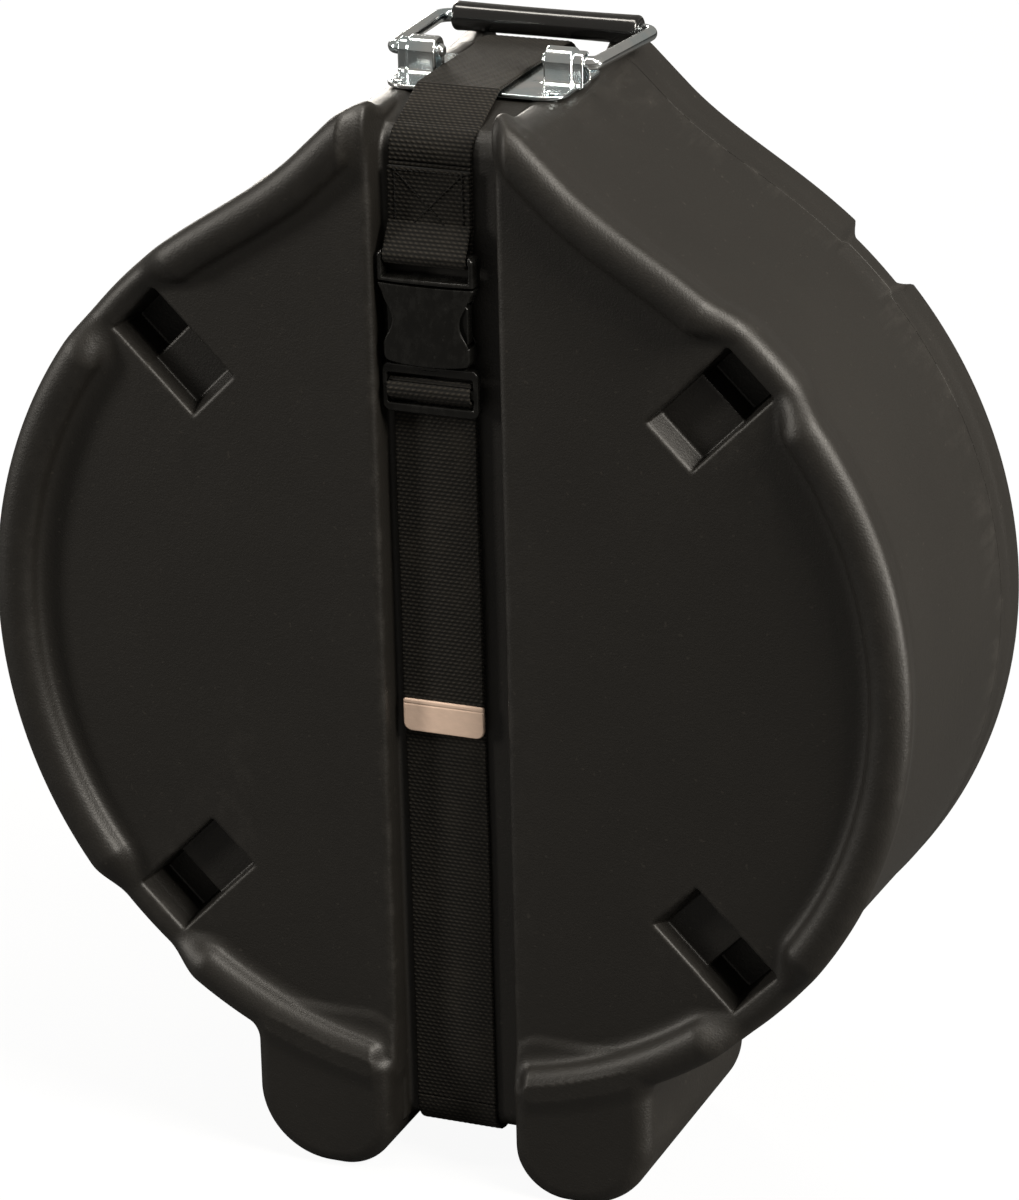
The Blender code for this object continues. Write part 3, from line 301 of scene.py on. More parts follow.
@dataclass(frozen=True)
class MouldedPlastic:
    """Satin moulded plastic with a fine grain, dust and rubbed edges."""

    name: str
    base: Colour
    rubbed: Colour
    roughness: float
    grain: float
    grain_depth: float
    specular: float
    cloud_lumps: float = 60.0
    pebble_lumps: float = 3.1
    scuff_lumps: float = 9.0
    fleck_lumps: float = 2.2
    scuff_stretch: Colour = (1.0, 0.35, 0.6)
    scuff_range: Pair = (0.42, 0.68)
    fleck_range: Pair = (0.80, 0.86)
    cloud_shade: float = 0.05
    wear_shade: float = 0.18
    fleck_shade: float = 0.35
    grain_share: float = 0.65

    def build(self) -> bpy.types.Material:
        """Return the material."""
        made, canvas = finish_canvas(self.name)
        place = canvas.place()
        cloud = canvas.noise(place, self.grain * self.cloud_lumps, 4.0, 0.6)
        grain = canvas.noise(place, self.grain, 2.0, 0.55)
        pebble = canvas.noise(place, self.grain * self.pebble_lumps, 1.0)
        streaks = canvas.stretched(place, self.scuff_stretch)
        scuff = canvas.noise(streaks, self.grain * self.scuff_lumps, 5.0, 0.7)
        wear = canvas.attribute("wear") * scuff.between(*self.scuff_range)
        fleck = canvas.noise(place, self.grain * self.fleck_lumps, 0.0).between(*self.fleck_range)
        shade = canvas.mix(cloud.between(0.3, 0.7), tuple(c * (1 - self.cloud_shade) for c in self.base),
                           tuple(c * (1 + self.cloud_shade) for c in self.base))
        shade = canvas.mix(wear * self.wear_shade, shade, self.rubbed)
        shade = canvas.mix(fleck * self.fleck_shade, shade, self.rubbed)
        relief = grain * self.grain_share + pebble * (1 - self.grain_share)
        principled(canvas, {
            "Base Color": shade,
            "Roughness": self.roughness + (cloud - 0.5) * 0.04 + wear * 0.08 - fleck * 0.05,
            "Specular IOR Level": self.specular,
            "Normal": canvas.bump(relief, self.grain_depth),
        })
        return made


@dataclass(frozen=True)
class PlatedSteel:
    """Bright zinc plate over pressed steel, with faint clouds and hairline scratches."""

    name: str
    base: Colour
    tint: Colour
    roughness: float
    cloud_pitch: float = 0.018
    spangle_pitch: float = 0.0035
    scratch_pitch: float = 0.0007
    relief_depth: float = 0.00002

    def build(self) -> bpy.types.Material:
        """Return the material."""
        made, canvas = finish_canvas(self.name)
        place = canvas.place()
        cloud = canvas.noise(place, self.cloud_pitch, 3.0, 0.6)
        spangle = canvas.noise(place, self.spangle_pitch, 2.0, 0.5)
        hairs = canvas.stretched(place, (0.08, 1.0, 1.0))
        scratch = canvas.noise(hairs, self.scratch_pitch, 2.0, 0.6)
        shade = canvas.mix(cloud.between(0.35, 0.65), self.base, self.tint)
        principled(canvas, {
            "Base Color": shade,
            "Metallic": 1.0,
            "Roughness": self.roughness + (spangle - 0.5) * 0.12 + scratch.between(0.6, 0.8) * 0.12,
            "Normal": canvas.bump(scratch * 0.5 + spangle * 0.5, self.relief_depth),
        })
        return made


@dataclass(frozen=True)
class GlossyVinyl:
    """Smooth dipped or moulded gloss plastic with faint flow waves."""

    name: str
    base: Colour
    roughness: float
    coat: float
    wave: float = 0.012
    wave_depth: float = 0.0002
    coat_roughness: float = 0.12

    def build(self) -> bpy.types.Material:
        """Return the material."""
        made, canvas = finish_canvas(self.name)
        place = canvas.place()
        wave = canvas.noise(place, self.wave, 2.0)
        smear = canvas.noise(canvas.stretched(place, (0.3, 1.0, 1.0)), self.wave / 3, 4.0, 0.6)
        shade = canvas.mix(smear.between(0.35, 0.75), self.base, tuple(c * 1.08 for c in self.base))
        principled(canvas, {
            "Base Color": shade,
            "Roughness": self.roughness + smear.between(0.45, 0.75) * 0.10,
            "Coat Weight": self.coat,
            "Coat Roughness": self.coat_roughness,
            "Normal": canvas.bump(wave * 0.8 + smear * 0.2, self.wave_depth),
        })
        return made


def rib_and_yarn(across: Wire, along: Wire, column: Any, row: Any) -> Wire:
    """Height from 0 to 1 of webbing: ribs across it, of slanted yarns set half a column on at each rib.

    Args:
        across: Place across the strap.
        along: Place along the strap.
        column: Pitch of the yarns.
        row: Pitch of the ribs.

    Returns:
        The height.
    """
    rib = 0.5 - (along * (2 * math.pi) / row).cosine() * 0.5
    half_on = (along * math.pi / row).sine().sign()
    lean = (along / row).fraction() - 0.5
    turn = across * (2 * math.pi) / column + lean * 3.0
    yarn = turn.cosine() * half_on * 0.5 + 0.5
    return rib ** 0.8 * (yarn * 0.6 + 0.4)


@dataclass(frozen=True)
class WovenWebbing:
    """Black woven webbing whose raised yarn crowns are painted lighter as a painted highlight, and whose
    gaps keep the dark base as a painted shade.
    """

    name: str
    base: Colour
    crown: Colour
    row: float
    column: float
    fibre_pitch: float = 0.00035
    dust_pitch: float = 0.02
    relief_depth: float = 0.00035
    specular: float = 0.22
    sheen: float = 0.03

    def build(self) -> bpy.types.Material:
        """Return the material."""
        made, canvas = finish_canvas(self.name)
        across = canvas.attribute("across")
        along = canvas.attribute("along")
        crown = rib_and_yarn(across, along, self.column, self.row)
        yarn = (across * (2 * math.pi / (self.column / 4))).cosine() * 0.5 + 0.5
        pair = canvas.out("ShaderNodeCombineXYZ", {}, {0: across, 1: along * 0.15})
        fibre = canvas.noise(pair, self.fibre_pitch, 2.0, 0.6)
        dust = canvas.noise(canvas.place(), self.dust_pitch, 3.0, 0.6)
        # Painted highlight on the yarn crowns and painted shade in the gaps between them, set by the weave's
        # height.
        shade = canvas.mix(crown ** 1.6, self.base, self.crown)
        shade = canvas.mix(dust.between(0.45, 0.75) * 0.25, shade, self.crown)
        relief = crown * 0.6 + yarn * 0.15 + fibre * 0.25
        principled(canvas, {
            "Base Color": shade,
            "Roughness": 0.78 - crown * 0.16 + fibre * 0.10,
            "Specular IOR Level": self.specular,
            "Sheen Weight": self.sheen,
            "Normal": canvas.bump(relief, self.relief_depth),
        })
        return made


@dataclass(frozen=True)
class CellFoam:
    """Charcoal open-cell foam, with painted shade in its sunken pores."""

    name: str
    base: Colour
    cells_per_metre: float = 700.0
    lump_pitch: float = 0.009
    cell_depth: float = 0.0007

    def build(self) -> bpy.types.Material:
        """Return the material."""
        made, canvas = finish_canvas(self.name)
        place = canvas.place()
        cell = canvas.out("ShaderNodeTexVoronoi", {}, {"Vector": place, "Scale": self.cells_per_metre})
        lump = canvas.noise(place, self.lump_pitch, 3.0)
        # Painted shade: the pores that the bump sinks are coloured darker than the cell walls.
        shade = canvas.mix(cell.between(0.1, 0.6), tuple(c * 0.45 for c in self.base), self.base)
        principled(canvas, {
            "Base Color": shade,
            "Roughness": 0.9 + (lump - 0.5) * 0.1,
            "Specular IOR Level": 0.2,
            "Normal": canvas.bump(cell * 0.7 + lump * 0.3, self.cell_depth),
        })
        return made


@dataclass(frozen=True)
class Finishes:
    """Every material of the case, by slot."""

    shell: MouldedPlastic = MouldedPlastic(
        "shell_plastic", (0.0072, 0.0062, 0.0048), (0.044, 0.040, 0.034), 0.50, 0.0009, 0.00022, 0.50)
    zinc: PlatedSteel = PlatedSteel("zinc_plate", (0.86, 0.89, 0.90), (0.70, 0.80, 0.84), 0.16)
    grip: GlossyVinyl = GlossyVinyl("grip_vinyl", (0.006, 0.006, 0.006), 0.16, 0.5)
    # The webbing's second colour is the painted highlight on its yarn crowns.
    webbing: WovenWebbing = WovenWebbing(
        "webbing", (0.0012, 0.0011, 0.0009), (0.030, 0.026, 0.020), 0.0018, 0.0026)
    buckle: MouldedPlastic = MouldedPlastic(
        "buckle_plastic", (0.0045, 0.0044, 0.0040), (0.03, 0.03, 0.028), 0.24, 0.0006, 0.00002, 0.40)
    tip: GlossyVinyl = GlossyVinyl("tip_plastic", (0.80, 0.60, 0.48), 0.16, 0.8, 0.006)
    foam: CellFoam = CellFoam("foam", (0.050, 0.050, 0.055))

    def build(self) -> Palette:
        """Return the material of each slot."""
        return {
            Slot.SHELL: self.shell.build(), Slot.ZINC: self.zinc.build(), Slot.GRIP: self.grip.build(),
            Slot.WEBBING: self.webbing.build(), Slot.BUCKLE: self.buckle.build(),
            Slot.TIP: self.tip.build(), Slot.FOAM: self.foam.build(),
        }


def smooth_min(first: Array, second: Array, blend: float) -> Array:
    """Smaller of two distances, rounded over where they are within blend of each other."""
    share = np.clip(0.5 + 0.5 * (second - first) / blend, 0.0, 1.0)
    return second + (first - second) * share - blend * share * (1.0 - share)


def smooth_max(first: Array, second: Array, blend: float) -> Array:
    """Larger of two distances, rounded over where they are within blend of each other."""
    return -smooth_min(-first, -second, blend)


def round_max(first: Array, second: Array, radius: float) -> Array:
    """Meeting of two solids whose shared edge is rounded to a true radius.

    Args:
        first: First field.
        second: Second field.
        radius: Radius of the edge.

    Returns:
        Signed distances.
    """
    one = np.maximum(first + radius, 0.0)
    two = np.maximum(second + radius, 0.0)
    return np.minimum(-radius, np.maximum(first, second)) + np.sqrt(one * one + two * two)


def fade(value: Array, start: float, width: float) -> Array:
    """Smooth step from 1 before start to 0 past start + width."""
    share = np.clip((value - start) / width, 0.0, 1.0)
    return 1.0 - share * share * (3.0 - 2.0 * share)


def rounded_box(first: Array, second: Array, halves: Sequence[float],
                radius: Any) -> Array:
    """Distance to a flat rectangle with round corners.

    Args:
        first: Places along the first axis, from the middle.
        second: Places along the second axis, from the middle.
        halves: Half sizes along both axes.
        radius: Corner radius, one number or one for each place.

    Returns:
        Signed distances, negative inside.
    """
    out_first = np.abs(first) - halves[0] + radius
    out_second = np.abs(second) - halves[1] + radius
    inside = np.minimum(np.maximum(out_first, out_second), 0.0)
    outside = np.sqrt(np.maximum(out_first, 0.0) ** 2 + np.maximum(out_second, 0.0) ** 2)
    return inside + outside - radius


@dataclass
class FieldMesher:
    """Meshes a signed distance field by surface nets on the blocks that lie near its surface."""

    spacing: float
    limit: int = 190000
    block: int = 8
    reach_share: float = 1.5
    chunk: int = 1200
    least_steep: float = 0.05
    cut_share: float = 0.7
    wall_reach: float = 0.0002
    wear_reach: float = 0.0015
    full_wear: float = 300.0

    def build(self, name: str, field: Field, low: Vector, high: Vector,
              cut: tuple[Field, float] | None = None) -> Object:
        """Mesh one field.

        Args:
            name: Name of the new object.
            field: Signed distance of points, negative inside.
            low: Lowest corner of the space to search.
            high: Highest corner of the space to search.
            cut: Field of a wall and the place along Y where it is cut off with a sharp edge.

        Returns:
            A closed, smooth object with a wear attribute, at the origin.
        """
        margin = self.spacing * 3
        start = np.array(low, float) - margin
        side = self.spacing * self.block
        counts = np.ceil((np.array(high, float) + margin - start) / side).astype(int)
        blocks = self._near_blocks(field, start, counts, side)
        cells, points, faces = self._nets(field, start, blocks, counts * self.block)
        points = self._settle(field, points)
        if cut:
            points = self._sharpen(points, *cut)
        made = self._object(name, points, faces)
        self._thin(made)
        self._shade(made, field, cut)
        LOG.info("%s: %d blocks, %d cells, %d faces kept", name, len(blocks), len(cells),
                 len(made.data.polygons))
        return made

    def _sample(self, field: Field, points: Array) -> Array:
        """Values of a field at an array of points, a chunk at a time.

        Args:
            field: Signed distance field.
            points: The points.

        Returns:
            The values.
        """
        flat = points.reshape(-1, 3)
        values = np.empty(len(flat), np.float32)
        step = self.chunk * (self.block + 1) ** 3
        for first in range(0, len(flat), step):
            part = flat[first:first + step]
            values[first:first + step] = field(part[:, 0], part[:, 1], part[:, 2])
        return values.reshape(points.shape[:-1])

    def _near_blocks(self, field: Field, start: Array, counts: Array, side: float) -> Array:
        """Corners, in cells, of the blocks that the surface can pass through.

        Args:
            field: Signed distance field.
            start: Place of the first corner.
            counts: Blocks along each axis.
            side: Side of a block.

        Returns:
            The corners.
        """
        grid = np.stack(np.meshgrid(*[np.arange(n) for n in counts], indexing="ij"), -1).reshape(-1, 3)
        middle = start + (grid + 0.5) * side
        reach = side * math.sqrt(3) / 2 * self.reach_share
        return grid[np.abs(self._sample(field, middle)) < reach] * self.block

    def _nets(self, field: Field, start: Array, blocks: Array,
              cells: Array) -> tuple[Array, Array, Array]:
        """Points and faces of the surface nets.

        Args:
            field: Signed distance field.
            start: Place of the first cell's corner.
            blocks: Corners of the blocks, in cells.
            cells: Number of cells along each axis.

        Returns:
            Sorted cell numbers, the point in each cell, and faces of four points.
        """
        steps = np.arange(self.block + 1)
        local = np.stack(np.meshgrid(steps, steps, steps, indexing="ij"), -1)
        stride = np.array([cells[1] * cells[2], cells[2], 1], np.int64)
        numbers, points, edges = [], [], []
        inner = slice(0, self.block)
        for first in range(0, len(blocks), self.chunk):
            corner = blocks[first:first + self.chunk]
            index = corner[:, None, None, None, :] + local
            values = self._sample(field, start + index * self.spacing)
            inside = values < 0
            found, spots = self._cell_points(values, inside)
            numbers.append(index[:, inner, inner, inner][found] @ stride)
            points.append(start + (index[:, inner, inner, inner][found] + spots) * self.spacing)
            for axis in range(3):
                edges.append(self._crossings(inside, index, axis, stride))
        numbers = np.concatenate(numbers)
        order = np.argsort(numbers)
        numbers = numbers[order]
        points = np.concatenate(points)[order]
        corners = np.concatenate(edges)
        found = np.minimum(np.searchsorted(numbers, corners), len(numbers) - 1)
        whole = (numbers[found] == corners).all(axis=1)
        return numbers, points, found[whole]

    def _cell_points(self, values: Array, inside: Array) -> tuple[Array, Array]:
        """Cells that the surface passes through, and the middle of its crossings in each.

        Args:
            values: The field at the corners.
            inside: Which corners lie inside.

        Returns:
            Which cells, and the point in each.
        """
        near, far = slice(0, self.block), slice(1, self.block + 1)
        corners = [(a, b, c) for a in (0, 1) for b in (0, 1) for c in (0, 1)]
        pick = {corner: tuple([slice(None)] + [far if bit else near for bit in corner])
                for corner in corners}
        count = sum(inside[pick[corner]].astype(np.int8) for corner in corners)
        found = (count > 0) & (count < len(corners))
        total = np.zeros((int(found.sum()), 3))
        hits = np.zeros(len(total))
        at = {corner: values[pick[corner]][found] for corner in corners}
        for axis in range(3):
            for corner in corners:
                if corner[axis]:
                    continue
                other = tuple(1 if i == axis else bit for i, bit in enumerate(corner))
                one, two = at[corner], at[other]
                crossed = (one < 0) != (two < 0)
                share = np.where(crossed, one / np.where(crossed, one - two, 1.0), 0.0)
                spot = np.array(corner, float) + np.eye(3)[axis] * share[:, None]
                total += spot * crossed[:, None]
                hits += crossed
        return found, total / hits[:, None]

    def _crossings(self, inside: Array, index: Array, axis: int, stride: Array) -> Array:
        """Cell numbers of the four cells round each grid edge that the surface crosses.

        Args:
            inside: Which corners lie inside.
            index: Numbers of the corners.
            axis: The edges' axis.
            stride: Steps between cell numbers.

        Returns:
            Rings of four cell numbers.
        """
        near = tuple([slice(None)] + [slice(0, self.block)] * 3)
        ahead = tuple([slice(None)] + [slice(1, self.block + 1) if i == axis else slice(0, self.block)
                                       for i in range(3)])
        one, two = inside[near], inside[ahead]
        crossed = one != two
        number = index[near][crossed] @ stride
        outward = one[crossed]
        second, third = stride[(axis + 1) % 3], stride[(axis + 2) % 3]
        ring = np.stack([number - second - third, number - third, number, number - second], 1)
        return np.where(outward[:, None], ring, ring[:, ::-1])

    def _slopes(self, field: Field, points: Array, step: float) -> Array:
        """Gradient of the field at points, by central differences.

        Args:
            field: Signed distance field.
            points: The points.
            step: Half of the difference's width.

        Returns:
            The gradients.
        """
        slopes = []
        for axis in range(3):
            shift = np.eye(3)[axis] * step
            slopes.append(self._sample(field, points + shift) - self._sample(field, points - shift))
        return np.stack(slopes, -1) / (2 * step)

    def _settle(self, field: Field, points: Array) -> Array:
        """Move points onto the surface.

        Args:
            field: Signed distance field.
            points: The points.

        Returns:
            The moved points.
        """
        for _ in range(3):
            slope = self._slopes(field, points, self.spacing * 0.2)
            steep = np.maximum((slope * slope).sum(-1), self.least_steep)
            step = (self._sample(field, points) / steep)[:, None] * slope
            length = np.linalg.norm(step, axis=1, keepdims=True)
            points = points - step * np.minimum(1.0, self.spacing * 0.5 / np.maximum(length, 1e-12))
        return points

    def _sharpen(self, points: Array, wall: Field, level: float) -> Array:
        """Move the points beside a cut onto its plane, and those at its edges onto the wall too.

        Args:
            points: The points.
            wall: Field of the uncut wall.
            level: The cut's y.

        Returns:
            The moved points.
        """
        near = np.abs(points[:, 1] - level) < self.spacing * self.cut_share
        edge = points[near]
        edge[:, 1] = level
        beside = np.abs(self._sample(wall, edge)) < self.spacing * self.cut_share
        corner = self._settle(wall, edge[beside])
        corner[:, 1] = level
        edge[beside] = corner
        points[near] = edge
        return points

    def _object(self, name: str, points: Array, faces: Array) -> Object:
        """Object from points and four-sided faces.

        Args:
            name: Its name.
            points: The points.
            faces: Four point numbers for each.

        Returns:
            The object.
        """
        mesh = bpy.data.meshes.new(name)
        mesh.vertices.add(len(points))
        mesh.vertices.foreach_set("co", points.astype(np.float32).ravel())
        mesh.loops.add(faces.size)
        mesh.loops.foreach_set("vertex_index", faces.astype(np.int32).ravel())
        mesh.polygons.add(len(faces))
        mesh.polygons.foreach_set("loop_start", np.arange(0, faces.size, 4, dtype=np.int32))
        mesh.update(calc_edges=True)
        made = bpy.data.objects.new(name, mesh)
        bpy.context.scene.collection.objects.link(made)
        return made

    def _thin(self, made: Object) -> None:
        """Collapse the flat stretches until the triangles are within the limit.

        Args:
            made: The object.
        """
        triangles = 2 * len(made.data.polygons)
        if triangles > self.limit:
            thin = made.modifiers.new("thin", "DECIMATE")
            thin.ratio = self.limit / triangles
            bake(made)

    def _shade(self, made: Object, field: Field, cut: tuple[Field, float] | None) -> None:
        """Shade smoothly by the field's own slope and mark the convex edges as worn.

        Args:
            made: The object.
            field: Signed distance field.
            cut: The wall's field and the level of a flat cut.
        """
        mesh = made.data
        points = np.empty(len(mesh.vertices) * 3, np.float32)
        mesh.vertices.foreach_get("co", points)
        points = points.reshape(-1, 3).astype(float)
        slope = self._slopes(field, points, self.spacing * 0.3)
        if cut:
            on_wall = np.abs(self._sample(cut[0], points)) < self.wall_reach
            slope[on_wall] = self._slopes(cut[0], points[on_wall], self.spacing * 0.3)
        slope /= np.maximum(np.linalg.norm(slope, axis=1, keepdims=True), 1e-9)
        reach = max(self.wear_reach, self.spacing)
        neighbours = 6
        bend = -neighbours * self._sample(field, points)
        for axis in range(3):
            shift = np.eye(3)[axis] * reach
            bend += self._sample(field, points + shift) + self._sample(field, points - shift)
        wear = np.clip(bend / reach / reach / self.full_wear, 0.0, 1.0)
        attribute = mesh.attributes.new("wear", "FLOAT", "POINT")
        attribute.data.foreach_set("value", wear.astype(np.float32))
        mesh.shade_smooth()
        mesh.normals_split_custom_set_from_vertices(slope.tolist())


def bake(made: Object) -> Object:
    """Apply every modifier of an object to its mesh.

    Args:
        made: The object.

    Returns:
        The object.
    """
    graph = bpy.context.evaluated_depsgraph_get()
    graph.update()
    result = bpy.data.meshes.new_from_object(made.evaluated_get(graph))
    made.modifiers.clear()
    made.data = result
    result.name = made.name
    return made


def dress(made: Object, materials: Palette, slot: Slot,
          body: Body | None = None, nodes: Sequence[str] = ()) -> Object:
    """Give a piece its finish, its body and the nodes that it stands for.

    Args:
        made: The piece.
        materials: The finishes by slot.
        slot: The piece's slot.
        body: Body that it rides on, or None to leave it unattached.
        nodes: CAD nodes that it replaces.

    Returns:
        The piece.
    """
    made.data.materials.clear()
    made.data.materials.append(materials[slot])
    if body is not None:
        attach(made, body.value)
    if nodes:
        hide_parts(*nodes)
    LOG.info("piece %s: %d faces", made.name, len(made.data.polygons))
    return made


@dataclass
class MouldedShells:
    """The two moulded shells, as fields round the middle of the case."""

    face_to_face: float = 0.144
    seam_depth: float = 0.125
    wall: float = 0.004
    rim_radius: float = 0.212
    rim_width: float = 0.018
    rim_proud: float = 0.0105
    rim_waist: float = 0.0036
    flank: float = 0.012
    wall_step: float = 0.004
    wall_draft: float = 0.003
    draft_start: float = 0.010
    corner: float = 0.009
    notch_flat: float = 3.6
    notch_fade: float = 6.0
    notch_ridge: float = 0.0058
    rear_notch_flat: float = 3.4
    rear_notch_fade: float = 1.8
    rear_notch_drop: float = 0.008
    crown_rise: float = 0.0295
    crown_step: float = 0.007
    platform_half: float = 0.035
    shoulder_degrees: float = 44.0
    shoulder_blend: float = 0.014
    shoulder_step: float = 0.0015
    rim_crown_blend: float = 0.009
    wall_crown_blend: float = 0.005
    channel_half: float = 0.0285
    channel_depth: float = 0.0135
    channel_drop: float = 0.015
    channel_below: float = 0.022
    channel_bend: float = 0.010
    foot_height: float = 0.041
    foot_depth: float = 0.120
    foot_half: float = 0.094
    foot_inner: float = 0.0291
    foot_inner_radius: float = 0.025
    foot_outer_radius: float = 0.0339
    foot_proud: float = 0.009
    foot_edge: float = 0.008
    foot_embed: float = 0.032
    pocket_outer: float = 0.199
    pocket_step: float = 0.177
    pocket_inner: float = 0.1475
    pocket_half: float = 0.014
    pocket_deep: float = 0.022
    pocket_shallow: float = 0.0095
    rear_pocket_deep: float = 0.012
    rear_pocket_shallow: float = 0.006
    collar_reach: float = 0.014
    collar_thickness: float = 0.003
    collar_clearance: float = 0.0005
    pad_drop: float = 0.0028
    pad_half: Pair = (0.0395, 0.027)
    inner_corner: float = 0.008
    ramp_start: float = -0.050
    ramp_rise: float = 0.348
    ramp_top: float = 0.2343
    seam_gap: float = 0.0003
    edge: float = 0.0004
    ending_start: float = 0.0015
    ending_width: float = 0.0085
    ending_share: float = 0.85
    waist_left: float = 0.0014
    rim_blend: float = 0.006
    foot_blend: float = 0.005
    foot_cut_blend: float = 0.003
    ramp_blend: float = 0.004
    channel_edge: float = 0.0025
    channel_blend: float = 0.0035
    pocket_taper: float = 0.08
    pocket_lean: float = 0.42
    step_lean: float = 0.06
    pocket_corner: float = 0.0010
    pocket_floor_edge: float = 0.0008
    pocket_blend: float = 0.0016
    hollow_blend: float = 0.003
    collar_edge: float = 0.001

    def __post_init__(self) -> None:
        """Work out the heights that several methods share."""
        self.middle = self.rim_radius + self.foot_height
        self.crown = self.rim_radius + self.crown_rise
        self.turn = math.radians(self.shoulder_degrees)
        self.shoulder = self.platform_half * math.sin(self.turn) + self.crown * math.cos(self.turn)
        self.half = self.face_to_face / 2
        self.seam_y = self.seam_depth - self.half

    def outline(self, x: Array, w: Array, circle_inset: float, slope_inset: float,
                top_inset: float, blend: float) -> Array:
        """Distance to the case's outline: circle, sloped shoulders and platform.

        Args:
            x, w: The points, w up from the rims' middle.
            circle_inset: Inset of the circle.
            slope_inset: Inset of the shoulders.
            top_inset: Inset of the platform.
            blend: Blend between them.

        Returns:
            Signed distances.
        """
        radius = np.sqrt(x * x + w * w)
        across = np.abs(x)
        upper = across * math.cos(self.turn) < w * math.sin(self.turn)
        slanted = across * math.sin(self.turn) + w * math.cos(self.turn)
        slope = np.where(upper, slanted, radius) - (self.shoulder - slope_inset)
        form = smooth_min(radius - (self.rim_radius - circle_inset), slope, self.shoulder_blend)
        return smooth_max(form, w - (self.crown - top_inset), blend)

    def wall_outline(self, x: Array, y: Array, w: Array) -> Array:
        """Distance to the side wall's outline, which widens a little towards the seam.

        Args:
            x, y, w: The points, w up from the rims' middle.

        Returns:
            Signed distances.
        """
        run = self.seam_depth - self.draft_start
        share = np.clip((y + self.half - self.draft_start) / run, 0.0, 1.0)
        step = self.wall_step - self.wall_draft * share
        return self.outline(x, w, step, self.shoulder_step, self.crown_step, self.wall_crown_blend)

    def rim(self, x: Array, y: Array, w: Array) -> Array:
        """Distance to the rolled bead, which sinks at the pockets and ends beside the channel.

        Args:
            x, y, w: The points, w up from the rims' middle.

        Returns:
            Signed distances.
        """
        inset = self.outline(x, w, 0.0, 0.0, 0.0, self.rim_crown_blend)
        behind = self.half - np.abs(y)
        front = y < 0
        tilt = np.degrees(np.abs(np.arctan2(np.abs(x), np.abs(w)) - math.pi / 4))
        notch = np.where(front, fade(tilt, self.notch_flat, self.notch_fade),
                         fade(tilt, self.rear_notch_flat, self.rear_notch_fade) * (w > 0))
        ending = fade(np.abs(x) - self.channel_half, self.ending_start, self.ending_width)
        sunk = np.maximum(notch, ending * self.ending_share)
        half_width = self.rim_width / 2
        narrow = half_width + (self.notch_ridge - half_width) * notch * front
        radial = (inset + narrow) / narrow
        past = behind + self.rim_waist - sunk * (self.rim_proud - self.waist_left)
        past = past - notch * self.rear_notch_drop * (y > 0)
        crest = self.rim_proud - self.rim_waist
        axial = np.where(past < 0, past / crest, past / self.flank)
        return (np.sqrt(radial * radial + axial * axial) - 1.0) * crest

    def feet(self, x: Array, y: Array, z: Array) -> Array:
        """Distance to the two feet and the web between them.

        Args:
            x, y, z: The points.

        Returns:
            Signed distances.
        """
        across = np.abs(x)
        half_width = (self.foot_half - self.foot_inner) / 2
        half_height = (self.foot_height + self.foot_embed) / 2
        along = across - (self.foot_inner + half_width)
        up = z - half_height
        bottom = np.where(along < 0, self.foot_inner_radius, self.foot_outer_radius)
        radius = np.where(up < 0, bottom, self.foot_inner_radius / 2)
        profile = rounded_box(along, up, (half_width, half_height), radius)
        half_depth = (self.foot_depth + self.foot_proud) / 2
        depth = np.abs(y + self.half + self.foot_proud - half_depth) - half_depth
        foot = round_max(profile, depth, self.foot_edge)
        w = z - self.middle
        face = np.sqrt(x * x + w * w) - (self.rim_radius - self.rim_width / 2)
        foot = smooth_max(foot, np.minimum(-face, -self.half - y), self.foot_cut_blend)
        depth = np.abs(y + self.half - self.foot_depth / 2) - self.foot_depth / 2
        floor = self.middle - self.rim_radius - self.channel_below
        web_side = across - (self.foot_inner + self.foot_inner_radius)
        web_low = floor - z
        web_high = z - (self.foot_height + self.foot_embed)
        web = np.maximum(np.maximum(web_side, depth + self.foot_edge), np.maximum(web_low, web_high))
        return np.minimum(foot, web)

    def channel(self, x: Array, y: Array, w: Array) -> Array:
        """Distance to what the belt channel takes away.

        Args:
            x, y, w: The points, w up from the rims' middle.

        Returns:
            Signed distances.
        """
        top = self.crown - self.channel_drop
        bottom = self.rim_radius + self.channel_below
        core = rounded_box(y, w - (top - bottom) / 2,
                           (self.half - self.channel_depth, (top + bottom) / 2), self.channel_bend)
        ramp = np.minimum(top + (y - self.ramp_start) * self.ramp_rise, self.ramp_top)
        ramp = np.maximum(w - ramp, np.maximum(self.ramp_start - y, y - self.pad_half[1]))
        core = smooth_min(core, np.maximum(ramp, -w), self.ramp_blend)
        return round_max(np.abs(x) - self.channel_half, -core, self.channel_edge)

    def pockets(self, x: Array, y: Array, w: Array) -> Array:
        """Distance to the stacking pockets of both faces.

        Args:
            x, y, w: The points, w up from the rims' middle.

        Returns:
            Signed distances.
        """
        along = (np.abs(x) + np.abs(w)) * math.sqrt(0.5)
        across = np.abs(np.abs(x) - np.abs(w)) * math.sqrt(0.5)
        behind = self.half - np.abs(y)
        front = y < 0
        shallow = np.where(front, self.pocket_shallow, self.rear_pocket_shallow)
        deep = np.where(front, self.pocket_deep, self.rear_pocket_deep)
        taper = behind * self.pocket_taper
        side = across - self.pocket_half + taper
        cuts = []
        for inner, lean, depth in ((self.pocket_inner, self.pocket_lean, shallow),
                                   (self.pocket_step, self.step_lean, deep)):
            ends = np.maximum(inner + behind * lean - along, along - self.pocket_outer + taper)
            cut = round_max(side, ends, self.pocket_corner)
            cuts.append(round_max(cut, behind - depth, self.pocket_floor_edge))
        return smooth_min(cuts[0], cuts[1], self.pocket_floor_edge)

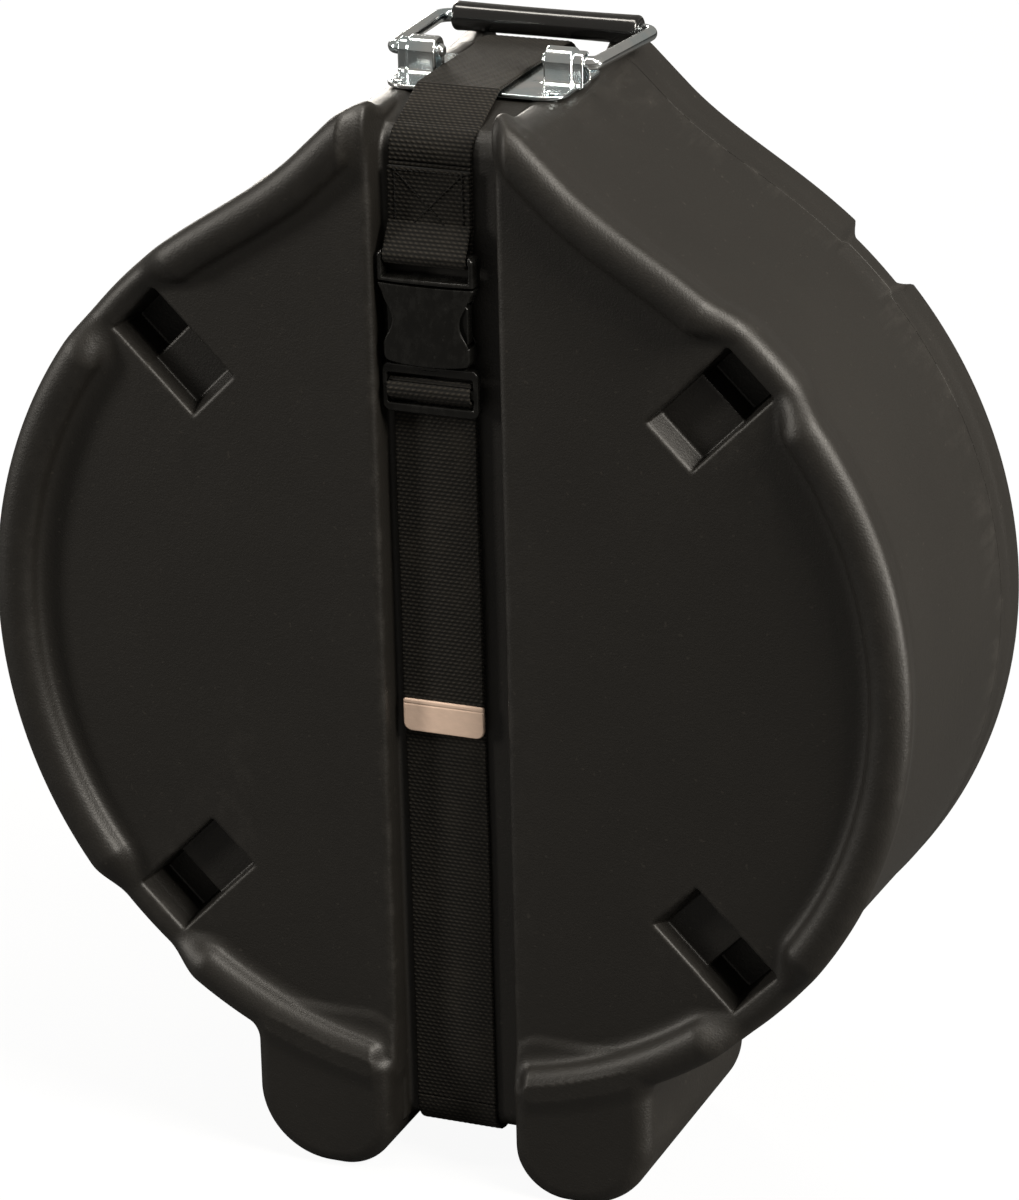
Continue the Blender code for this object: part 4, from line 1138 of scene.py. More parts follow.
    def moulding(self, x: Array, y: Array, z: Array) -> Array:
        """Distance to the closed case's outer skin.

        Args:
            x, y, z: The points.

        Returns:
            Signed distances.
        """
        w = z - self.middle
        body = round_max(self.wall_outline(x, y, w), np.abs(y) - self.half, self.corner)
        skin = smooth_min(body, self.rim(x, y, w), self.rim_blend)
        skin = smooth_min(skin, self.feet(x, y, z), self.foot_blend)
        skin = smooth_max(skin, -self.channel(x, y, w), self.channel_blend)
        skin = np.maximum(skin, np.abs(y) - self.half - self.rim_proud)
        return smooth_max(skin, -self.pockets(x, y, w), self.pocket_blend)

    def hollow(self, x: Array, y: Array, z: Array) -> Array:
        """Distance to the space inside the walls, less the pad that the rivets pass through.

        Args:
            x, y, z: The points.

        Returns:
            Signed distances.
        """
        w = z - self.middle
        inside = round_max(self.wall_outline(x, y, w) + self.wall, np.abs(y) - self.half + self.wall,
                           self.inner_corner)
        inside = smooth_max(inside, self.wall - self.channel(x, y, w), self.hollow_blend)
        inside = smooth_max(inside, self.wall - self.pockets(x, y, w), self.hollow_blend)
        pad_low = self.middle + self.crown - self.crown_step - self.wall - self.pad_drop
        pad_side = np.maximum(np.abs(x) - self.pad_half[0], np.abs(y) - self.pad_half[1])
        pad = np.maximum(pad_side, pad_low - z)
        return np.maximum(inside, -pad)

    def skin(self, x: Array, y: Array, z: Array) -> Array:
        """Distance to the moulded walls."""
        return np.maximum(self.moulding(x, y, z), -self.hollow(x, y, z))

    def front(self, x: Array, y: Array, z: Array) -> Array:
        """Distance to the deep front shell."""
        return smooth_max(self.skin(x, y, z), y - self.seam_y, self.edge)

    def rear(self, x: Array, y: Array, z: Array) -> Array:
        """Distance to the shallow rear shell with its collar.

        Args:
            x, y, z: The points.

        Returns:
            Signed distances.
        """
        shell = smooth_max(self.skin(x, y, z), self.seam_y + self.seam_gap - y, self.edge)
        inset = self.wall_outline(x, y, z - self.middle) + self.wall + self.collar_clearance
        ring = np.maximum(inset, -(inset + self.collar_thickness))
        reach = (self.collar_reach + self.wall) / 2
        along = np.abs(y - (self.seam_y + self.wall - reach)) - reach
        gap = self.channel_half + self.wall + 2 * self.collar_clearance - np.abs(x)
        collar = np.maximum(round_max(ring, along, self.collar_edge), gap)
        root = np.maximum(np.maximum(inset, -(inset + self.collar_thickness)),
                          np.maximum(self.seam_y + self.seam_gap - y, y - self.seam_y - self.wall))
        return np.minimum(shell, np.minimum(collar, np.maximum(root, gap)))

    def build(self, materials: Palette, mesher: FieldMesher) -> None:
        """Mesh and dress both shells.

        Args:
            materials: The finishes by slot.
            mesher: Mesher at the shells' spacing.
        """
        for node, field, level, body in (
                ("front_shell", self.front, self.seam_y, Body.FRONT),
                ("rear_shell", self.rear, self.seam_y + self.seam_gap, Body.REAR)):
            low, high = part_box(node)
            shell = mesher.build(f"{node}_moulding", field, low, high, (self.skin, level))
            dress(shell, materials, Slot.SHELL, body, [node])


def arc(centre: Sequence[float], radius: float, start: float, end: float,
        steps: int) -> list[Pair]:
    """Points of an arc in a plane, by angles in degrees."""
    turns = np.radians(np.linspace(start, end, steps + 1))
    return [(centre[0] + radius * math.cos(t), centre[1] + radius * math.sin(t)) for t in turns]


def spline(knots: Sequence[Sequence[float]], steps: int) -> list[tuple[float, ...]]:
    """Points of a smooth curve through knots, the last one included.

    Args:
        knots: Points to pass.
        steps: Points to each bend.

    Returns:
        The points.
    """
    padded = np.array([knots[0], *knots, knots[-1]], float)
    t = (np.arange(steps) / steps)[:, None]
    spans = [b + (c - a) * t / 2 + (2 * a - 5 * b + 4 * c - d) * t ** 2 / 2
             + (3 * b - a - 3 * c + d) * t ** 3 / 2
             for a, b, c, d in zip(padded, padded[1:], padded[2:], padded[3:])]
    return [tuple(point) for span in spans for point in span] + [tuple(knots[-1])]


def fillet(corners: Sequence[Sequence[float]], radii: Sequence[float], steps: int) -> list[Vector]:
    """Polyline through corners with each inner corner rounded to its radius.

    Args:
        corners: Its corners in order.
        radii: Radius of each inner corner.
        steps: Points to each bend.

    Returns:
        The points.
    """
    points = [Vector(corners[0])]
    for before, corner, after, radius in zip(corners, corners[1:], corners[2:], radii):
        corner = Vector(corner)
        toward = (Vector(before) - corner).normalized()
        away = (Vector(after) - corner).normalized()
        half_angle = toward.angle(away) / 2
        reach = radius / math.tan(half_angle)
        centre = corner + (toward + away).normalized() * (radius / math.sin(half_angle))
        start = (corner + toward * reach - centre).normalized()
        end = (corner + away * reach - centre).normalized()
        points += [centre + start.slerp(end, step / steps) * radius for step in range(steps + 1)]
    points.append(Vector(corners[-1]))
    return points


def resample(points: Array, pitch: float) -> Array:
    """Evenly spaced points along a polyline, both ends kept.

    Args:
        points: The points.
        pitch: Distance between points.

    Returns:
        The points.
    """
    lengths = np.linalg.norm(np.diff(points, axis=0), axis=1)
    along = np.concatenate([[0.0], np.cumsum(lengths)])
    places = np.linspace(0.0, along[-1], max(2, round(along[-1] / pitch) + 1))
    return np.stack([np.interp(places, along, points[:, axis]) for axis in range(points.shape[1])], 1)


def directions(points: Array) -> Array:
    """Unit direction of a polyline at each of its points."""
    run = np.gradient(points, axis=0)
    return run / np.linalg.norm(run, axis=1, keepdims=True)


def sweep(name: str, path: Array, side: Array, up: Array, section: Array,
          closed: bool = False) -> Object:
    """Skin a closed section along a path.

    Args:
        name: Name of the new object.
        path: Point of each ring.
        side: Direction of the section's first axis at each ring.
        up: Direction of the section's second axis at each ring.
        section: Outline of each ring, or one outline for all of them.
        closed: Whether the last ring joins the first, instead of two caps.

    Returns:
        A closed, smooth object at the origin, with its faces outward.
    """
    rings = path[:, None] + side[:, None] * section[..., 0:1] + up[:, None] * section[..., 1:2]
    number = np.arange(rings.shape[0] * rings.shape[1]).reshape(rings.shape[:2])
    near = number if closed else number[:-1]
    far = np.roll(number, -1, axis=0)[:len(near)]
    faces = np.stack([near, np.roll(near, -1, 1), np.roll(far, -1, 1), far], -1).reshape(-1, 4)
    points = rings.reshape(-1, 3)
    one, two, three, four = (points[faces[:, corner]] - points.mean(0) for corner in range(4))
    outward = (np.cross(one, two) * three).sum() + (np.cross(one, three) * four).sum() > 0
    lists = faces.tolist()
    if not closed:
        lists += [number[0, ::-1].tolist(), number[-1].tolist()]
    if not outward:
        lists = [face[::-1] for face in lists]
    mesh = bpy.data.meshes.new(name)
    mesh.from_pydata(points.tolist(), [], lists)
    mesh.shade_smooth()
    made = bpy.data.objects.new(name, mesh)
    bpy.context.scene.collection.objects.link(made)
    return made


def turned(name: str, profile: Sequence[Pair], place: Vector, axis: Vector,
           sides: int = 48, closed: bool = False) -> Object:
    """Turn a profile round an axis.

    Args:
        name: Name of the new object.
        profile: (radius, distance along the axis) of each ring.
        place: Point of the axis at distance 0.
        axis: Direction of the axis.
        sides: Points of each ring.
        closed: Whether the profile is a loop, as a sleeve's is.

    Returns:
        The turned object.
    """
    side = axis.orthogonal().normalized()
    up = axis.cross(side).normalized()
    turns = np.arange(sides) * 2 * math.pi / sides
    ring = np.stack([np.cos(turns), np.sin(turns)], 1)
    radii = np.array([radius for radius, _ in profile])
    path = np.array([list(place + axis * along) for _, along in profile])
    count = (len(profile), 1)
    return sweep(name, path, np.tile(np.array(side), count), np.tile(np.array(up), count),
                 ring[None] * radii[:, None, None], closed)


def number_points(made: Object, name: str, values: Array) -> None:
    """Store one number on each point of an object."""
    attribute = made.data.attributes.new(name, "FLOAT", "POINT")
    attribute.data.foreach_set("value", values.astype(np.float32).ravel())


def growth_tree(name: str, inputs: dict[str, str]) -> tuple[Canvas, dict[str, Wire]]:
    """Start a geometry node tree.

    Args:
        name: Name of the tree.
        inputs: Socket type of each named input after the geometry.

    Returns:
        The tree's canvas and its inputs as wires.
    """
    tree = bpy.data.node_groups.new(name, "GeometryNodeTree")
    for way in ("INPUT", "OUTPUT"):
        tree.interface.new_socket("Geometry", in_out=way, socket_type="NodeSocketGeometry")
    for label, kind in inputs.items():
        tree.interface.new_socket(label, in_out="INPUT", socket_type=kind)
    canvas = Canvas(tree)
    source = canvas.add("NodeGroupInput")
    return canvas, {label: Wire(canvas, source.outputs[label]) for label in ("Geometry", *inputs)}


def close_growth(canvas: Canvas, geometry: Wire, finish: Wire) -> Tree:
    """End a geometry node tree in Realize Instances, Set Material and the output.

    Args:
        canvas: Canvas of the tree.
        geometry: Geometry to end with.
        finish: Its material.

    Returns:
        The tree.
    """
    whole = canvas.out("GeometryNodeRealizeInstances", {}, {"Geometry": geometry})
    painted = canvas.out("GeometryNodeSetMaterial", {}, {"Geometry": whole, "Material": finish})
    canvas.add("NodeGroupOutput", {}, {"Geometry": painted})
    return canvas.tree


def grow(made: Object, tree: Tree, values: dict[str, Any]) -> Object:
    """Run a geometry node tree over an object and keep its mesh.

    Args:
        made: The object.
        tree: The node tree.
        values: Inputs of the tree by name.

    Returns:
        The object.
    """
    modifier = made.modifiers.new(tree.name, "NODES")
    modifier.node_group = tree
    for item in tree.interface.items_tree:
        if item.item_type == "SOCKET" and item.in_out == "INPUT" and item.name in values:
            modifier[item.identifier] = values[item.name]
    return bake(made)


def weave_tree() -> Tree:
    """Tree that raises the crowns of a weave on a strap's face."""
    canvas, inputs = growth_tree("weave", {
        "Row Pitch": "NodeSocketFloat", "Column Pitch": "NodeSocketFloat", "Depth": "NodeSocketFloat",
        "Seed": "NodeSocketFloat", "Material": "NodeSocketMaterial"})
    fields = [canvas.out("GeometryNodeInputNamedAttribute", {"data_type": "FLOAT"}, {"Name": label})
              for label in ("across", "along")]
    across, along = fields
    crown = rib_and_yarn(across, along, inputs["Column Pitch"], inputs["Row Pitch"])
    uneven = canvas.out("ShaderNodeTexNoise", {"noise_dimensions": "4D"},
                        {"W": inputs["Seed"], "Scale": 160.0, "Detail": 2.0})
    lift = (crown * 2.0 - 1.0) * (uneven * 0.9 + 0.55) * inputs["Depth"]
    normal = canvas.out("GeometryNodeInputNormal")
    offset = canvas.out("ShaderNodeVectorMath", {"operation": "SCALE"}, {0: normal, "Scale": lift})
    woven = canvas.out("GeometryNodeSetPosition", {}, {"Geometry": inputs["Geometry"], "Offset": offset})
    return close_growth(canvas, woven, inputs["Material"])


def stitch_tree() -> Tree:
    """Tree that lays stitches end to end along lines."""
    canvas, inputs = growth_tree("stitches", {
        "Pitch": "NodeSocketFloat", "Stitch": "NodeSocketObject", "Material": "NodeSocketMaterial"})
    line = canvas.out("GeometryNodeMeshToCurve", {}, {"Mesh": inputs["Geometry"]})
    spots = canvas.out("GeometryNodeResampleCurve", {"mode": "LENGTH"},
                       {"Curve": line, "Length": inputs["Pitch"]})
    turn = canvas.out("FunctionNodeAlignRotationToVector", {"axis": "X"},
                      {"Vector": canvas.out("GeometryNodeInputTangent")})
    stitch = canvas.out("GeometryNodeObjectInfo", {}, {"Object": inputs["Stitch"]}, "Geometry")
    laid = canvas.out("GeometryNodeInstanceOnPoints", {},
                      {"Points": spots, "Instance": stitch, "Rotation": turn})
    return close_growth(canvas, laid, inputs["Material"])


def scatter_tree() -> Tree:
    """Tree that sets one copy of an object on each point."""
    canvas, inputs = growth_tree("scatter", {
        "Copy": "NodeSocketObject", "Material": "NodeSocketMaterial"})
    copy = canvas.out("GeometryNodeObjectInfo", {}, {"Object": inputs["Copy"]}, "Geometry")
    laid = canvas.out("GeometryNodeInstanceOnPoints", {}, {"Points": inputs["Geometry"], "Instance": copy})
    return close_growth(canvas, laid, inputs["Material"])


def wire_object(name: str, points: Sequence[Sequence[float]],
                edges: Sequence[tuple[int, int]] = ()) -> Object:
    """Object of loose points and lines for a tree to grow on.

    Args:
        name: Its name.
        points: The points.
        edges: Two point numbers for each line.

    Returns:
        The object.
    """
    mesh = bpy.data.meshes.new(name)
    mesh.from_pydata([tuple(point) for point in points], list(edges), [])
    made = bpy.data.objects.new(name, mesh)
    bpy.context.scene.collection.objects.link(made)
    return made


def discard(made: Object) -> None:
    """Remove an object that was only a pattern."""
    bpy.data.objects.remove(made, do_unlink=True)


@dataclass(frozen=True)
class Run:
    """One run of the strap: its node, path, offsets from the middle and how it is carried."""

    node: str
    path: Array
    offset: Callable[[Array], Array]
    body: Body | None
    ends: Pair | None = None
    fine: bool = True


@dataclass
class Strap:
    """The webbing strap, swept along the channel, over the plate and through the buckle."""

    width: float = 0.038
    thickness: float = 0.0015
    gap: float = 0.0003
    shift: float = 0.005
    rear_shift: float = 0.008
    front_y: float = -0.05955
    middle: float = 0.253
    top_z: float = 0.48055
    bottom_z: float = 0.01735
    bend: float = 0.01105
    top_join: float = 0.467
    rear_join: float = 0.443
    bottom_join: float = 0.044
    plate_half: float = 0.027
    plate_top: float = 0.4898
    grip_place: Pair = (0.062, 0.4967)
    grip_radius: float = 0.0065
    foot_back: float = 0.0498
    bar_y: float = -0.065
    socket_bar: float = 0.428
    ladder_bar: float = 0.3686
    low_bar: float = 0.360
    fold_top: float = 0.465
    tail_end: float = 0.225
    column: float = 0.0026
    row: float = 0.0018
    depth: float = 0.00013
    bar_width: float = 0.004
    plate_float: float = 0.0006
    ramp_float: float = 0.00045
    grip_lead_share: float = 2.5
    overhang: float = 0.0135
    overhang_drop: float = 0.0189
    join_rise: float = 0.010
    back_bend: float = 0.0025
    foot_bend: float = 0.005
    front_rise: float = 0.015
    settle: float = 0.0135
    lower_start: float = 0.0153
    bar_drop: float = 0.004
    tail_swing_share: float = 1.3
    tail_bar: float = 0.0028
    top_ends: Pair = (-0.045, 0.053)
    bottom_ends: Pair = (-0.050, 0.053)
    bend_steps: int = 12
    curve_steps: int = 10
    loop_steps: int = 14
    path_pitch: float = 0.00045
    section_pitch: float = 0.00065
    sway: float = 0.0002
    sway_turns: float = 55.0
    stitch_half: float = 0.0155
    stitch_low: float = 0.0045
    stitch_high: float = 0.0015
    stitch_lift: float = 0.00012
    stitch_pitch: float = 0.0025
    stitch_length: float = 0.0021
    thread_radius: float = 0.00034
    thread_end: float = 0.00001

    def __post_init__(self) -> None:
        """Work out the sizes that several runs share."""
        self.layer = self.thickness + self.gap
        self.lift = self.gap + self.thickness / 2
        self.loop = self.bar_width / math.sqrt(2) + self.lift

    def straight(self, y: Array) -> Array:
        """Offset of the front runs."""
        return np.full(len(y), -self.shift)

    def slanted(self, y: Array) -> Array:
        """Offset of the top run, which slants toward the rear."""
        share = 1 - fade(y, self.plate_half, -self.front_y - self.plate_half)
        return -self.shift - (self.rear_shift - self.shift) * share

    def top_path(self) -> list[Pair]:
        """From the front bend over the plate and under the grip to the rear channel."""
        corner = (self.front_y + self.bend, self.top_z - self.bend)
        over_plate = self.plate_top + self.lift
        grip_y, grip_z = self.grip_place
        knots = (
            (-self.plate_half, over_plate + self.gap),
            (0.0, over_plate + self.plate_float),
            (grip_y / 2, over_plate + self.ramp_float),
            (grip_y - self.grip_radius * self.grip_lead_share, over_plate),
            (grip_y, grip_z - self.grip_radius - self.layer),
            (-self.front_y + self.overhang - self.layer * 2, self.top_z),
            (-self.front_y + self.overhang / 2, self.top_z - self.overhang_drop),
            (-self.front_y + self.gap, self.rear_join + self.join_rise),
            (-self.front_y, self.rear_join),
        )
        bend = arc(corner, self.bend, 180, 100, self.bend_steps)
        return [(self.front_y, self.top_join)] + bend + spline(knots, self.curve_steps)

    def bottom_path(self) -> list[Pair]:
        """Down round the back of the feet and forward between them."""
        start = self.bottom_join - self.gap
        corners = [(0, -self.front_y, start), (0, -self.front_y, start - self.foot_bend),
                   (0, self.foot_back, self.bottom_z), (0, self.front_y, self.bottom_z),
                   (0, self.front_y, self.bottom_z + self.front_rise)]
        points = fillet(corners, (self.back_bend, self.foot_bend, self.bend), self.curve_steps)
        return [(point.y, point.z) for point in points]

    def upper_path(self) -> list[Pair]:
        """From the top bend round the socket's bar and back up."""
        settle = self.socket_bar + self.settle
        folded = self.front_y - self.layer
        return ([(self.front_y, self.top_join - self.gap), (self.front_y, settle)]
                + arc((self.bar_y, self.socket_bar), self.loop, 0, -200, self.loop_steps + 2)
                + [(folded, settle), (folded, self.fold_top)])

    def lower_path(self) -> list[Pair]:
        """Up the front channel and through the plug's upper slot."""
        low, high = self.bottom_z + self.lower_start, self.ladder_bar - self.bar_drop
        return ([(self.front_y, low), (self.front_y, high)]
                + arc((self.bar_y, self.ladder_bar), self.loop, 10, 120, self.loop_steps))

    def tail_path(self) -> list[Pair]:
        """Off the crossbar, behind the lower bar and down the front."""
        behind = self.front_y - self.layer
        return (arc((self.bar_y, self.ladder_bar), self.loop, 130, 240, self.loop_steps)
                + [(self.front_y - self.layer * self.tail_swing_share, self.low_bar + self.tail_bar),
                   (behind, self.low_bar - self.bar_drop), (behind, self.tail_end)])

    def runs(self) -> list[Run]:
        """Every run of the strap."""
        back = [(-self.front_y, self.rear_join - self.gap), (-self.front_y, self.bottom_join)]

        def leaning(y: Array) -> Array:
            """Offset of the rear run, from the rear offset to the front one."""
            return np.linspace(-self.rear_shift, -self.shift, len(y))

        return [
            Run("strap_top_run", self.top_path(), self.slanted, None, self.top_ends),
            Run("strap_bottom_run", self.bottom_path(), self.straight, None, self.bottom_ends, False),
            Run("strap_back_run", back, leaning, Body.REAR, None, False),
            Run("strap_front_upper", self.upper_path(), self.straight, Body.SOCKET),
            Run("strap_front_lower", self.lower_path(), self.straight, Body.FRONT),
            Run("strap_tail", self.tail_path(), self.straight, Body.FRONT),
        ]

    def outline(self, pitch: float) -> tuple[Array, Array]:
        """Section of the strap with round selvedges, and how far across each point lies.

        Args:
            pitch: Distance between points.

        Returns:
            The section's points, and each one's place across.
        """
        half = self.thickness / 2
        flat = self.width / 2 - half
        steps = max(2, round(2 * flat / pitch))
        line = np.linspace(-flat, flat, steps + 1)
        edge = np.array(arc((flat, 0.0), half, 90, -90, 6))[1:-1]
        top = np.stack([line, np.full(len(line), half)], 1)
        bottom = np.stack([line[::-1], np.full(len(line), -half)], 1)
        section = np.concatenate([top, edge, bottom, edge * (-1, 1) * (1, -1)])
        return section, section[:, 0]

    def ribbon(self, run: Run, tree: Tree, finish: bpy.types.Material) -> Object:
        """Sweep and weave one run.

        Args:
            run: The run.
            tree: The node tree.
            finish: Its material.

        Returns:
            The run's object.
        """
        coarse = 2.0 if (not run.fine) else 1.0
        pitch = self.path_pitch * coarse
        path = resample(np.array(run.path, float), pitch)
        flat = directions(path)
        count = len(path)
        sway = np.sin(np.linspace(0.0, 1.0, count) * math.pi) * self.sway
        wave = np.cos(np.arange(count) * pitch * self.sway_turns)
        x = run.offset(path[:, 0]) + sway * wave
        spine = np.stack([x, path[:, 0], path[:, 1]], 1)
        side = np.tile([1.0, 0.0, 0.0], (count, 1))
        up = np.stack([np.zeros(count), -flat[:, 1], flat[:, 0]], 1)
        section, across = self.outline(self.section_pitch * coarse)
        made = sweep(f"{run.node}_webbing", spine, side, up, section)
        steps = np.linalg.norm(np.diff(path, axis=0), axis=1)
        along = np.concatenate([[0.0], np.cumsum(steps)])
        number_points(made, "across", np.tile(across, count))
        number_points(made, "along", np.repeat(along, len(section)))
        return grow(made, tree, {"Row Pitch": self.row, "Column Pitch": self.column, "Depth": self.depth,
                                 "Seed": 3.0, "Material": finish})

    def stitches(self, finish: bpy.types.Material) -> Object:
        """Box and cross of stitches that close the fold over the socket's bar.

        Args:
            finish: Its material.

        Returns:
            The stitches.
        """
        half = self.stitch_half
        low, high = self.socket_bar + self.stitch_low, self.fold_top - self.stitch_high
        y = self.front_y - self.layer - self.thickness / 2 - self.stitch_lift
        corners = [(-half, low), (half, low), (half, high), (-half, high)]
        strokes = [(0, 1), (1, 2), (2, 3), (3, 0), (0, 2), (1, 3)]
        points, edges = [], []
        for first, last in strokes:
            edges.append((len(points), len(points) + 1))
            points += [(x - self.shift, y, z) for x, z in (corners[first], corners[last])]
        lines = wire_object("fold_stitches", points, edges)
        turns = np.radians(np.linspace(-90, 90, 9))
        thread = [(self.thread_radius * math.cos(t) + self.thread_end, self.stitch_length / 2 * math.sin(t))
                  for t in turns]
        stitch = turned("stitch", thread, Vector((0, 0, 0)), Vector((1, 0, 0)), 8)
        made = grow(lines, stitch_tree(),
                    {"Pitch": self.stitch_pitch, "Stitch": stitch, "Material": finish})
        discard(stitch)
        count = len(made.data.vertices)
        number_points(made, "across", np.zeros(count))
        number_points(made, "along", np.zeros(count))
        return made

    def build(self, materials: Palette) -> None:
        """Make every run, carry it and sew the fold.

        Args:
            materials: The finishes by slot.
        """
        tree = weave_tree()
        for run in self.runs():
            made = self.ribbon(run, tree, materials[Slot.WEBBING])
            dress(made, materials, Slot.WEBBING, run.body, [run.node])
            if run.ends:
                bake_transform(made)
        dress(self.stitches(materials[Slot.WEBBING]), materials, Slot.WEBBING, Body.SOCKET)


@dataclass
class Handle:
    """Plated plate with its two ears, the rivets, the bail and its grip."""

    half: float = 0.041
    depth: float = 0.027
    corner: float = 0.010
    low: float = 0.4878
    top: float = 0.4898
    pivot: float = 0.4983
    bore: float = 0.0035
    barrel: float = 0.0062
    lip: float = 0.0050
    ear_inner: float = 0.0250
    ear_step: float = 0.0377
    ear_outer: float = 0.0425
    rivet_x: float = 0.0356
    rivet_y: float = 0.021
    rivet_hole: float = 0.0023
    wire: float = 0.003
    wire_tail: float = 0.0225
    wire_neck: float = 0.0465
    wire_half: float = 0.050
    reach: float = 0.062
    drop: float = 0.0016
    grip_half: float = 0.0435
    grip_radius: float = 0.0065
    sheet_edge: float = 0.0007
    ear_edge: float = 0.0009
    ear_lift: float = 0.0004
    ear_foot: float = 0.0002
    ear_overlap: float = 0.001
    plate_blend: float = 0.0018
    tunnel_start: float = 0.020
    tunnel_edge: float = 0.0006
    head_gap: float = 0.0003
    head_radius: float = 0.0031
    head_edge: float = 0.0002
    head_rise: float = 0.0009
    rivet_stem: Profile = ((0.0016, 0.4779), (0.0023, 0.4783), (0.0023, 0.4789), (0.002, 0.4789))
    washer_ring: Profile = ((0.0023, 0.4792), (0.0026, 0.4792), (0.0027, 0.4794), (0.0027, 0.4802),
                            (0.0026, 0.4804), (0.0023, 0.4804))
    wire_bend: float = 0.006
    wire_pitch: float = 0.0008
    wire_sides: int = 24
    end_length: float = 0.0016
    end_share: float = 0.35
    grip_gap: float = 0.0003
    grip_face: float = 0.0012
    grip_edge: float = 0.0018
    grip_sag: float = 0.00035
    grip_steps: int = 24
    grip_straight_share: float = 0.92

    def arch(self, y: Array, z: Array, radius: float) -> Array:
        """Distance to a half round over the pivot with legs straight down."""
        return np.sqrt(y * y + np.maximum(z - self.pivot, 0.0) ** 2) - radius

    def plate(self, x: Array, y: Array, z: Array) -> Array:
        """Distance to the plate and its ears.

        Args:
            x, y, z: The points.

        Returns:
            Signed distances.
        """
        across = np.abs(x)
        middle, half = (self.low + self.top) / 2, (self.top - self.low) / 2
        sheet = round_max(rounded_box(x, y, (self.half, self.depth), self.corner),
                          np.abs(z - middle) - half, self.sheet_edge)
        ears = None
        for start, end, radius in ((self.ear_inner, self.ear_step, self.barrel),
                                   (self.ear_step - self.ear_overlap, self.ear_outer, self.lip)):
            span = np.abs(across - (start + end) / 2) - (end - start) / 2
            ear = round_max(self.arch(y, z, radius), span, self.ear_edge)
            ear = round_max(ear, self.low + self.ear_lift - z, self.ear_foot)
            ears = ear if ears is None else smooth_min(ears, ear, self.ear_overlap)
        solid = smooth_min(sheet, ears, self.plate_blend)
        tunnel = np.maximum(self.arch(y, z, self.bore), np.maximum(self.top - z, self.tunnel_start - across))
        solid = smooth_max(solid, -tunnel, self.tunnel_edge)
        spots = np.hypot(across - self.rivet_x, np.abs(y) - self.rivet_y)
        return np.maximum(solid, self.rivet_hole - spots)

    def rivets(self, materials: Palette) -> None:
        """Set the four rivets and their washers.

        Args:
            materials: The finishes by slot.
        """
        tree = scatter_tree()
        spots = [(x * self.rivet_x, y * self.rivet_y, 0) for x in (-1, 1) for y in (-1, 1)]
        numbers = range(1, len(spots) + 1)
        head = self.top + self.head_gap
        dome = [(self.head_radius * math.cos(t), head + self.head_gap + self.head_rise * math.sin(t))
                for t in np.radians(np.linspace(0, 88, 10))]
        rivet = [*self.rivet_stem, (self.rivet_stem[-1][0], head), (self.head_radius - self.head_edge, head),
                 (self.head_radius, head + self.head_edge), *dome]
        for name, profile, closed, nodes in (
                ("handle_rivets", rivet, False, [f"handle_rivet_{n}" for n in numbers]),
                ("rivet_washers", self.washer_ring, True, [f"rivet_washer_{n}" for n in numbers])):
            pattern = turned("pattern", profile, Vector((0, 0, 0)), Vector((0, 0, 1)), 40, closed)
            made = grow(wire_object(name, spots), tree, {"Copy": pattern, "Material": materials[Slot.ZINC]})
            discard(pattern)
            dress(made, materials, Slot.ZINC, Body.FRONT, nodes)

    def bail(self, materials: Palette) -> None:
        """Bend the wire and slide the grip on it.

        Args:
            materials: The finishes by slot.
        """
        rest = self.pivot - self.drop
        side = [(self.wire_tail, 0.0, self.pivot), (self.wire_neck, 0.0, self.pivot),
                (self.wire_half, self.reach, rest)]
        corners = [(-x, y, z) for x, y, z in side] + side[::-1]
        bends = (self.wire, self.wire_bend, self.wire_bend, self.wire)
        path = np.array([list(point) for point in fillet(corners, bends, 12)])
        path = resample(path, self.wire_pitch)
        run = directions(path)
        up = np.tile([0.0, 0.0, 1.0], (len(path), 1))
        side_way = np.cross(run, up)
        side_way /= np.linalg.norm(side_way, axis=1, keepdims=True)
        up = np.cross(side_way, run)
        turns = np.arange(self.wire_sides) * 2 * math.pi / self.wire_sides
        ring = np.stack([np.cos(turns), np.sin(turns)], 1) * self.wire
        from_end = np.minimum(np.arange(len(path)), np.arange(len(path))[::-1]) * self.wire_pitch
        share = 1 - np.clip(1 - from_end / self.end_length, 0, 1) ** 2 * self.end_share
        wire = sweep("bail_wire_bent", path, side_way, up, ring[None] * share[:, None, None])
        dress(wire, materials, Slot.ZINC, Body.BAIL, ["bail_wire"])
        core = self.wire + self.grip_gap
        end = [(core, -self.grip_half), (core + self.grip_face, -self.grip_half)]
        for t in np.radians(np.linspace(90, 0, 7)):
            end.append((self.grip_radius - self.grip_edge * (1 - math.cos(t)),
                        -self.grip_half + self.grip_edge * (1 - math.sin(t))))
        straight = self.grip_straight_share
        shares = np.linspace(-straight, straight, self.grip_steps)
        waist = [(self.grip_radius - self.grip_sag * (1 - s * s), s * self.grip_half) for s in shares]
        profile = end + waist + [(radius, -x) for radius, x in end[::-1]]
        place = Vector((0, self.reach, rest))
        grip = turned("bail_grip_sleeve", profile, place, Vector((1, 0, 0)), 64, True)
        dress(grip, materials, Slot.GRIP, Body.BAIL, ["bail_grip"])

    def build(self, materials: Palette, mesher: FieldMesher) -> None:
        """Make the whole handle.

        Args:
            materials: The finishes by slot.
            mesher: Mesher for the fields.
        """
        low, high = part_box("handle_plate")
        plate = mesher.build("handle_plate_pressing", self.plate, low, high)
        dress(plate, materials, Slot.ZINC, Body.FRONT, ["handle_plate"])
        self.rivets(materials)
        self.bail(materials)


